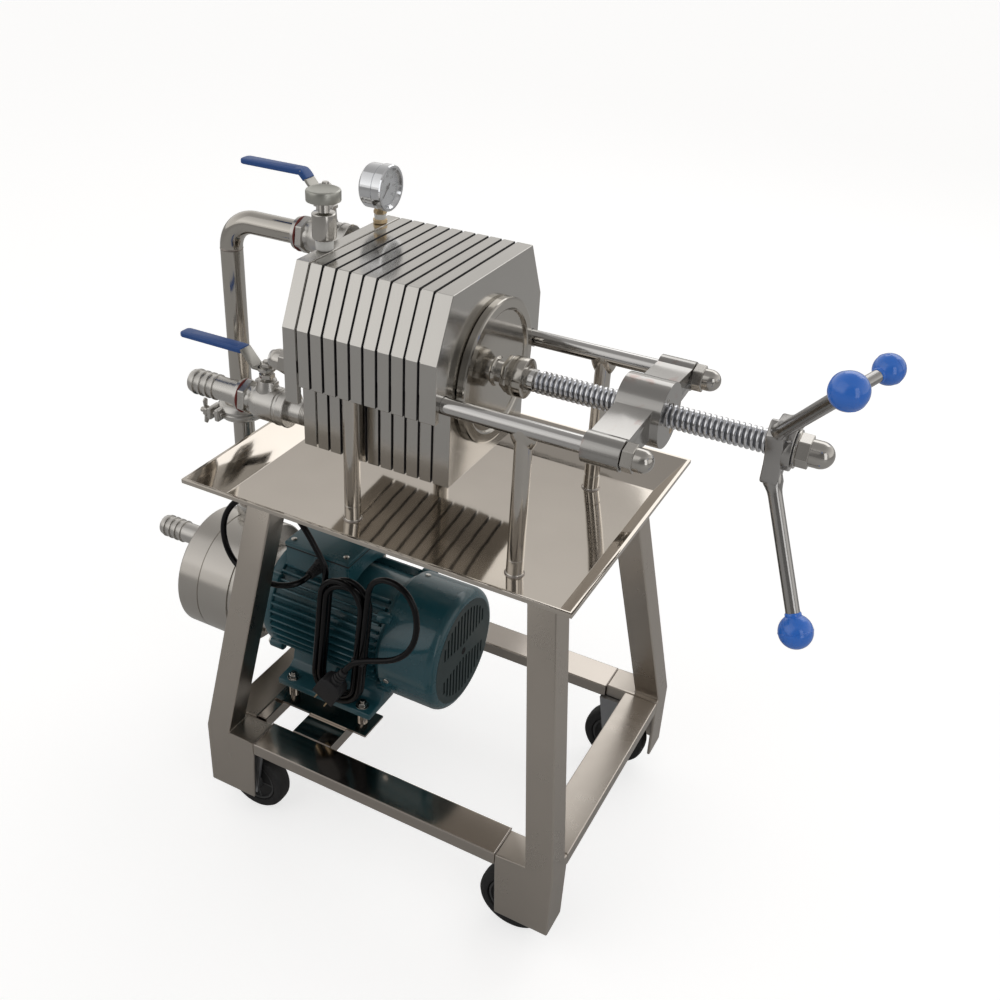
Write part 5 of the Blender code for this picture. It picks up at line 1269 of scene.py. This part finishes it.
for index in range(TICKS):
    angle = -SWEEP / 2 + SWEEP * index / (TICKS - 1)
    long_mark = index % 5 == 0
    length = (2.6 if long_mark else 1.4) * MM
    width = (0.45 if long_mark else 0.25) * MM
    mark = block((-0.03 * MM, -width / 2, -length), (0.05 * MM, width / 2, 0.0))
    gauge.add(carried(mark, on_dial(angle, GAUGE_R - 6.6 * MM, 0.2 * MM)), ink)
for number in range(7):
    curve = bpy.data.curves.new("dial_number", "FONT")
    curve.body = str(number * 0.1)[:3] if number else "0"
    curve.size = 3.2 * MM
    curve.align_x = "CENTER"
    curve.align_y = "CENTER"
    curve.extrude = 0.03 * MM
    words = bpy.data.objects.new("dial_number", curve)
    bpy.context.scene.collection.objects.link(words)
    flat = bpy.data.meshes.new_from_object(words.evaluated_get(bpy.context.evaluated_depsgraph_get()))
    bpy.data.objects.remove(words)
    letters = bmesh.new()
    letters.from_mesh(flat)
    angle = -SWEEP / 2 + SWEEP * number / 6
    stand_up = Matrix.Rotation(math.pi / 2, 4, "Z") @ Matrix.Rotation(math.pi / 2, 4, "X")
    spread = Matrix.Translation((dial_x + 0.22 * MM, GAUGE_Y, GAUGE_Z))
    out = Vector((0, math.sin(angle), math.cos(angle))) * (GAUGE_R - 11.2 * MM)
    gauge.add(carried(letters, spread @ Matrix.Translation(out) @ stand_up), ink)
hand = [(-0.9 * MM, -5 * MM), (0.9 * MM, -5 * MM), (0.35 * MM, 12 * MM), (-0.35 * MM, 12 * MM)]
pointer = drawn(hand, "X", 0.0, 0.3 * MM)
gauge.add(carried(pointer, on_dial(-SWEEP / 2, 0.0, 0.7 * MM)), ink)
pin = profile(dial_x, (0, 1.8), (1.3, 1.5))
gauge.add(spun(pin, "X", (GAUGE_Y, GAUGE_Z), 24), ink)
pane = profile(front, (-2.4, -4.4), (-1.9, -4.2), out=GAUGE_R)
gauge.add(spun(pane, "X", (GAUGE_Y, GAUGE_Z), 64), glass)
seat = gauge_low.z
place = (stem_x, GAUGE_Y)
stem = profile(seat, (4, 5.6), (9.5, 6))
gauge.add(nut("Z", place, 7.6 * MM, seat, seat + 4.2 * MM, 0.2, 0.6 * MM), brass)
gauge.add(spun(stem, "Z", place, 36, 0.4 * MM), white_tape)
gauge.add(nut("Z", place, 6.8 * MM, seat + 9.2 * MM, seat + 13 * MM, 0.5, 0.6 * MM), brass)
collar = [(seat + 12 * MM, 0.0), (seat + 12 * MM, 5.6 * MM), (GAUGE_Z - GAUGE_R + 3 * MM, 5.6 * MM),
          (GAUGE_Z - GAUGE_R + 3 * MM, 0.0)]
gauge.add(spun(collar, "Z", place, 36, 0.4 * MM), brass)
gauge.done()
print("vent and gauge made")

# %% [markdown]
# ## The handle
# Three round arms grow out of a lobed hub, and a domed nut with a washer holds the hub on the screw. The
# lobes are one outline worked out from the arms' directions. Each arm is turned with a shoulder that
# runs into its lobe, then stood along its own direction.

# %% Handle
hub_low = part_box("handle")[0]
HUB_THICK = 15 * MM
ARM = 6.1 * MM
BALL = 15.2 * MM
hub_front = hub_low.x + HUB_THICK
handle = Piece("handle_arms", "handwheel", "satin_steel", "handle")
outline = []
reaches = []
for number in (1, 2, 3):
    ball = centre_of(f"ball_{number}")
    outward = Vector((0.0, ball.y, ball.z - rod_z)).normalized()
    across = Vector((0.0, -outward.z, outward.y))
    for reach, wide in ((17.0, -12.35), (31.0, -9.5), (34.0, -7.5), (34.0, 7.5), (31.0, 9.5), (17.0, 12.35)):
        point = outward * reach * MM + across * wide * MM
        outline.append((point.y, rod_z + point.z))
    root = Vector((hub_low.x + HUB_THICK / 2, 0.0, rod_z)) + outward * 25 * MM
    reaches.append((number, root, ball, (ball - root).normalized()))
handle.add(drawn(outline, "X", hub_low.x, hub_front, 1.8 * MM, 3), arm_steel)
boss = profile(hub_front, (-1, 20), (5.4, 20), (6, 19))
handle.add(spun(boss, "X", (0.0, rod_z), 64, 0.4 * MM), arm_steel)
gap = profile(hub_front, (6, 14), (7, 14))
# The ring in the gap between boss and washer takes the darker steel: painted shade in the joint.
handle.add(spun(gap, "X", (0.0, rod_z), 48), shaded_groove_steel)
washer = profile(hub_front, (6.8, 16.8), (8.6, 16.8))
handle.add(spun(washer, "X", (0.0, rod_z), 64, 0.4 * MM), bolt_steel)
cap_nut(handle, "X", (0.0, rod_z), hub_front + 8.4 * MM, 1, 15 * MM, 10.6 * MM, 19.5 * MM, math.radians(8))
for number, root, ball, way_out in reaches:
    length = (ball - root).length - 5.2 * MM
    line = [(0.0, 0.0), (0.0, 8.6 * MM), (8 * MM, 8.6 * MM), (11 * MM, 7.6 * MM), (15 * MM, 6.5 * MM),
            (19 * MM, ARM), (length, ARM), (length, 0.0)]
    arm = spun(line, "Z", (0.0, 0.0), 48)
    stand_up = AXES["Z"].rotation_difference(way_out).to_matrix().to_4x4()
    handle.add(carried(arm, Matrix.Translation(root) @ stand_up), arm_steel)
handle.done()

# %% [markdown]
# ## The balls
# Three moulded balls are screwed onto the arms. Each keeps the thin lip where its two moulds met, which
# lies across the arm. A short collar shows where the arm goes in.

# %% Balls
for number, root, centre, way_out in reaches:
    node = f"ball_{number}"
    stand_up = AXES["Z"].rotation_difference(way_out).to_matrix().to_4x4()
    turned = Matrix.Translation(centre) @ stand_up
    line = [(-BALL, 0.0)]
    for index in range(1, 32):
        angle = math.pi * index / 32
        reach = BALL * math.sin(angle) - 0.35 * MM * math.sin(angle)
        if index == 16:
            line += [(-0.4 * MM, reach), (-0.2 * MM, BALL - 0.05 * MM), (0.2 * MM, BALL - 0.05 * MM),
                     (0.4 * MM, reach)]
        else:
            line.append((-BALL * math.cos(angle), reach))
    line.append((BALL, 0.0))
    knob = Piece(node + "_moulded", "handwheel", "blue_ball", node)
    shape = spun(line, "Z", (0.0, 0.0), 64)
    knob.add(carried(shape, turned), blue_plastic)
    neck = profile(-BALL, (-1.2, 6.6), (-0.4, 7), (2.4, 7.2))
    shape = spun(neck, "Z", (0.0, 0.0), 36, 0.3 * MM)
    knob.add(carried(shape, turned), brass if number == 2 else blue_plastic)
    knob.done(30.0)
print("handle and balls made")

# %% [markdown]
# ## Crosshead details
# The crosshead's boss carries a bush ring, a socket screw and one brass screw. They are small, but they
# show how it is assembled.

# %% Crosshead details
boss_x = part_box("crosshead")[1].x
boss_piece = Piece("crosshead_bush", "stand", "mirror_steel")
bush = profile(boss_x, (-1, 16), (-0.2, 16.2), (-0.1, 13), (-0.6, 12.2), (-0.6, 11.4), (-3, 11.2))
boss_piece.add(spun(bush, "X", (0.0, rod_z), 64), mirror_steel)
for degrees, finish in ((62.0, bolt_steel), (242.0, brass)):
    angle = math.radians(degrees)
    place = (math.cos(angle) * -20.5 * MM, rod_z + math.sin(angle) * 20.5 * MM)
    screw = profile(boss_x, (-1, 3.6), (0.1, 3.6), (0.3, 3.2), (0.3, 1.9), (-0.7, 1.8))
    boss_piece.add(spun(screw, "X", place, 24), finish)
boss_piece.done()
print("crosshead dressed")

# %% [markdown]
# ## The caster wheels
# A black tyre round a dark grey hub. Ribs in the hub's hollow break the circle, so a turn of the wheel
# can be seen. The profile is spun about the axle.

# %% Caster wheels
WHEEL = 37.49 * MM
HUB = [(0, 25.8), (8.6, 25.8), (8.6, 23.6), (5, 22.6), (4.6, 11), (12, 9), (12.6, 8.4)]
RIBS = 5
for near, left in SIDES:
    node = f"caster_{near}_{left}_wheel"
    middle = centre_of(node)
    place = (middle.x, middle.z)
    y = middle.y
    tyre = mirrored(y, -0.3, (7, -10.99), (9.6, -9.99), (10, -8.49), (10, -4.49), (9.2, -2.09),
                    (7, -0.59), (3.5, 0), (0.3, 0), out=WHEEL)
    wheel = Piece(node + "_tyre", f"wheel_{near}_{left}", "black_wheel", node)
    wheel.add(spun(tyre, "Y", place, 72), tyre_rubber)
    for side in (-1, 1):
        hub = profile(y, *[(side * along, reach) for along, reach in HUB])
        wheel.add(spun(hub, "Y", place, 48), hub_plastic)
        for index in range(RIBS):
            angle = math.tau * index / RIBS
            rib = block((9 * MM, -1.2 * MM, 4 * MM), (24 * MM, 1.2 * MM, 7.6 * MM), 0.4 * MM)
            face_out = Matrix.Rotation(-side * math.pi / 2, 4, "X")
            aim = Matrix.Translation(middle) @ Matrix.Rotation(angle, 4, "Y") @ face_out
            wheel.add(carried(rib, aim), hub_plastic)
    wheel.done(28.0)
    bolts = Piece(f"caster_{near}_{left}_bolts", "stand", "satin_steel")
    fork_low, fork_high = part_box(f"caster_{near}_{left}_fork")
    bolts.add(nut("Y", place, 6.5 * MM, fork_low.y, fork_low.y + 2.4 * MM, 0.3, 0.4 * MM), bolt_steel)
    bolts.add(nut("Y", place, 6.5 * MM, fork_high.y - 2.4 * MM, fork_high.y, 0.8, 0.4 * MM), bolt_steel)
    bolts.done()
print("wheels made")

# %% [markdown]
# ## Weld beads, hem and spots
# The stand is welded where rail meets leg, and the posts are welded to the tray. A bead is a thin tube
# whose radius swells and shrinks a little from step to step. The tray's lip is hemmed, so a thin round
# edge runs all the way round it.

# %% Welds and tray details


def bead(start, end, radius=1.1 * MM):
    """Weld bead between two points, with its ripples."""
    first_point = Vector(start)
    last_point = Vector(end)
    count = max(4, round((last_point - first_point).length / (1.6 * MM)))
    points = [first_point.lerp(last_point, index / count) for index in range(count + 1)]
    radii = [radius * (1.0 if index % 2 else 0.86) for index in range(count + 1)]
    return tube(points, radius, 8, radii)


welds = Piece("stand_welds", "stand", "satin_steel")
for low, high in (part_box("rail_near"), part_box("rail_far")):
    for x in (low.x, high.x):
        welds.add(bead((x, low.y + MM, high.z), (x, high.y - MM, high.z), 0.8 * MM), weld_steel)
for node in ("cross_bar_left", "cross_bar_right"):
    low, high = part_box(node)
    for y in (low.y, high.y):
        welds.add(bead((low.x + MM, y, high.z), (high.x - MM, y, high.z), 0.8 * MM), weld_steel)
tray_floor = tray_low.z + 2.0 * MM
for node in ("guide_rod_near", "guide_rod_far"):
    y = centre_of(node).y
    for x in POST_XS:
        ring = profile(tray_floor, (-0.6, 9.8), (0.4, 9.6), (1, 8.8))
        welds.add(spun(ring, "Z", (x, y), 36), weld_steel)
welds.done()

under = Piece("tray_post_nuts", "stand", "satin_steel")
for node in ("guide_rod_near", "guide_rod_far"):
    y = centre_of(node).y
    for x in POST_XS:
        cap_nut(under, "Z", (x, y), tray_low.z + 0.2 * MM, -1, 8.5 * MM, 7 * MM, 10 * MM, 0.4)
for y in (-21 * MM, -9 * MM):
    spot_weld = [(-0.6 * MM, 0.0), (-0.6 * MM, 2.6 * MM), (0.3 * MM, 2.2 * MM), (0.6 * MM, 0.0)]
    dab = spun(spot_weld, "Z", (0.0, 0.0), 16)
    on_flare = Matrix.Translation((tray_high.x - 5.4 * MM, y, tray_high.z - 13 * MM))
    aim = on_flare @ Matrix.Rotation(math.radians(-60), 4, "Y")
    under.add(carried(dab, aim), weld_steel)
under.done()

hem = Piece("tray_hem", "stand", "mirror_steel")
HEM = 0.9 * MM
rim_z = tray_high.z - HEM
inset = HEM
corners = [(tray_low.x + inset, tray_low.y + inset, rim_z),
           (tray_high.x - inset, tray_low.y + inset, rim_z),
           (tray_high.x - inset, tray_high.y - inset, rim_z),
           (tray_low.x + inset, tray_high.y - inset, rim_z)]
for start, end in zip(corners, corners[1:] + corners[:1]):
    hem.add(tube([Vector(start), Vector(start).lerp(Vector(end), 0.5), Vector(end)], HEM, 12), bar_steel)
for corner in corners:
    ball = bmesh.new()
    place = Matrix.Translation(corner)
    bmesh.ops.create_uvsphere(ball, u_segments=12, v_segments=8, radius=HEM, matrix=place)
    hem.add(ball, bar_steel)
hem.done()
print("welds and hem made")

# %% [markdown]
# ## Floor, world and lamps
# Polished steel shows what stands round it, so the room matters as much as the metal. The world is pale
# at the horizon, darker overhead and darkest on one side, which gives the steel its contrast. Large soft
# lamps make the long highlights on the bars. The floor glows a little to the camera, so it reads as
# plain white and still keeps the soft shadow.

# %% Floor
FLOOR_HALF = 80.0
FLOOR_SINK = 0.0005
FLOOR_GREY = 0.59
FLOOR_GLOW = 0.66
floor_shape = bmesh.new()
bmesh.ops.create_grid(floor_shape, x_segments=1, y_segments=1, size=FLOOR_HALF)
floor_mesh = bpy.data.meshes.new("floor")
floor_shape.to_mesh(floor_mesh)
floor_shape.free()
floor = bpy.data.objects.new("floor", floor_mesh)
floor.location.z = -FLOOR_SINK
bpy.context.scene.collection.objects.link(floor)
floor_finish = Finish("floor_white", base_color=grey(FLOOR_GREY), roughness=0.9, emission_color=grey(1.0))
floor_mesh.materials.append(floor_finish.material)
rays = floor_finish.node("ShaderNodeLightPath", {}, {}, "Is Camera Ray")
through = Wire(floor_finish, rays.socket.node.outputs["Is Transmission Ray"])
floor_finish.feed("Emission Strength", (rays + through) * FLOOR_GLOW)

# %% World
SKY_STRENGTH = 0.85
DARK_SIDE = (0.47, -0.88, 0.0)
world = bpy.data.worlds.new("room")
bpy.context.scene.world = world
world.use_nodes = True
sky = world.node_tree
back = sky.nodes["Background"]
back.inputs["Strength"].default_value = SKY_STRENGTH


def sky_ramp(socket, *stops):
    """Colour picked by a socket of the world, between two stops of (position, colour)."""
    made = sky.nodes.new("ShaderNodeValToRGB")
    sky.links.new(socket, made.inputs[0])
    for stop, (position, colour) in zip(made.color_ramp.elements, stops):
        stop.position = position
        stop.color = colour
    return made.outputs[0]


around = sky.nodes.new("ShaderNodeTexCoord").outputs["Generated"]
split = sky.nodes.new("ShaderNodeSeparateXYZ")
sky.links.new(around, split.inputs[0])
height_shade = sky_ramp(split.outputs["Z"], (0.25, (1.0, 0.98, 0.95, 1.0)), (0.95, (0.42, 0.41, 0.40, 1.0)))
toward = sky.nodes.new("ShaderNodeVectorMath")
toward.operation = "DOT_PRODUCT"
toward.inputs[1].default_value = DARK_SIDE
sky.links.new(around, toward.inputs[0])
side_shade = sky_ramp(toward.outputs["Value"], (0.50, grey(1.0)), (0.80, grey(0.22)))
both = sky.nodes.new("ShaderNodeMix")
both.data_type = "RGBA"
both.blend_type = "MULTIPLY"
both.inputs[0].default_value = 1.0
sky.links.new(height_shade, both.inputs[6])
sky.links.new(side_shade, both.inputs[7])
sky.links.new(both.outputs[2], back.inputs["Color"])
plain = sky.nodes.new("ShaderNodeBackground")
plain.inputs["Color"].default_value = grey(1.0)
seen = sky.nodes.new("ShaderNodeLightPath")
choose = sky.nodes.new("ShaderNodeMixShader")
sky.links.new(seen.outputs["Is Camera Ray"], choose.inputs["Fac"])
sky.links.new(back.outputs[0], choose.inputs[1])
sky.links.new(plain.outputs[0], choose.inputs[2])
sky.links.new(choose.outputs[0], sky.nodes["World Output"].inputs["Surface"])

# %% Lamps
LAMP_AIM = Vector((0.0, 0.0, 0.35))
LAMPS = [("key", (-1.2, -1.6, 2.0), 2.4, 2.4, 5.5), ("fill", (1.9, -1.2, 1.1), 0.8, 1.8, 5.0),
         ("rim", (0.3, 1.9, 1.9), 2.2, 1.1, 8.0)]
for name, place, wide, tall, power in LAMPS:
    lamp_data = bpy.data.lights.new(name, "AREA")
    lamp_data.shape = "RECTANGLE"
    lamp_data.size = wide
    lamp_data.size_y = tall
    lamp_data.energy = power
    lamp = bpy.data.objects.new(name, lamp_data)
    aim = LAMP_AIM - Vector(place)
    lamp.matrix_world = Matrix.Translation(place) @ aim.to_track_quat("-Z", "Y").to_matrix().to_4x4()
    bpy.context.scene.collection.objects.link(lamp)
print("room ready")
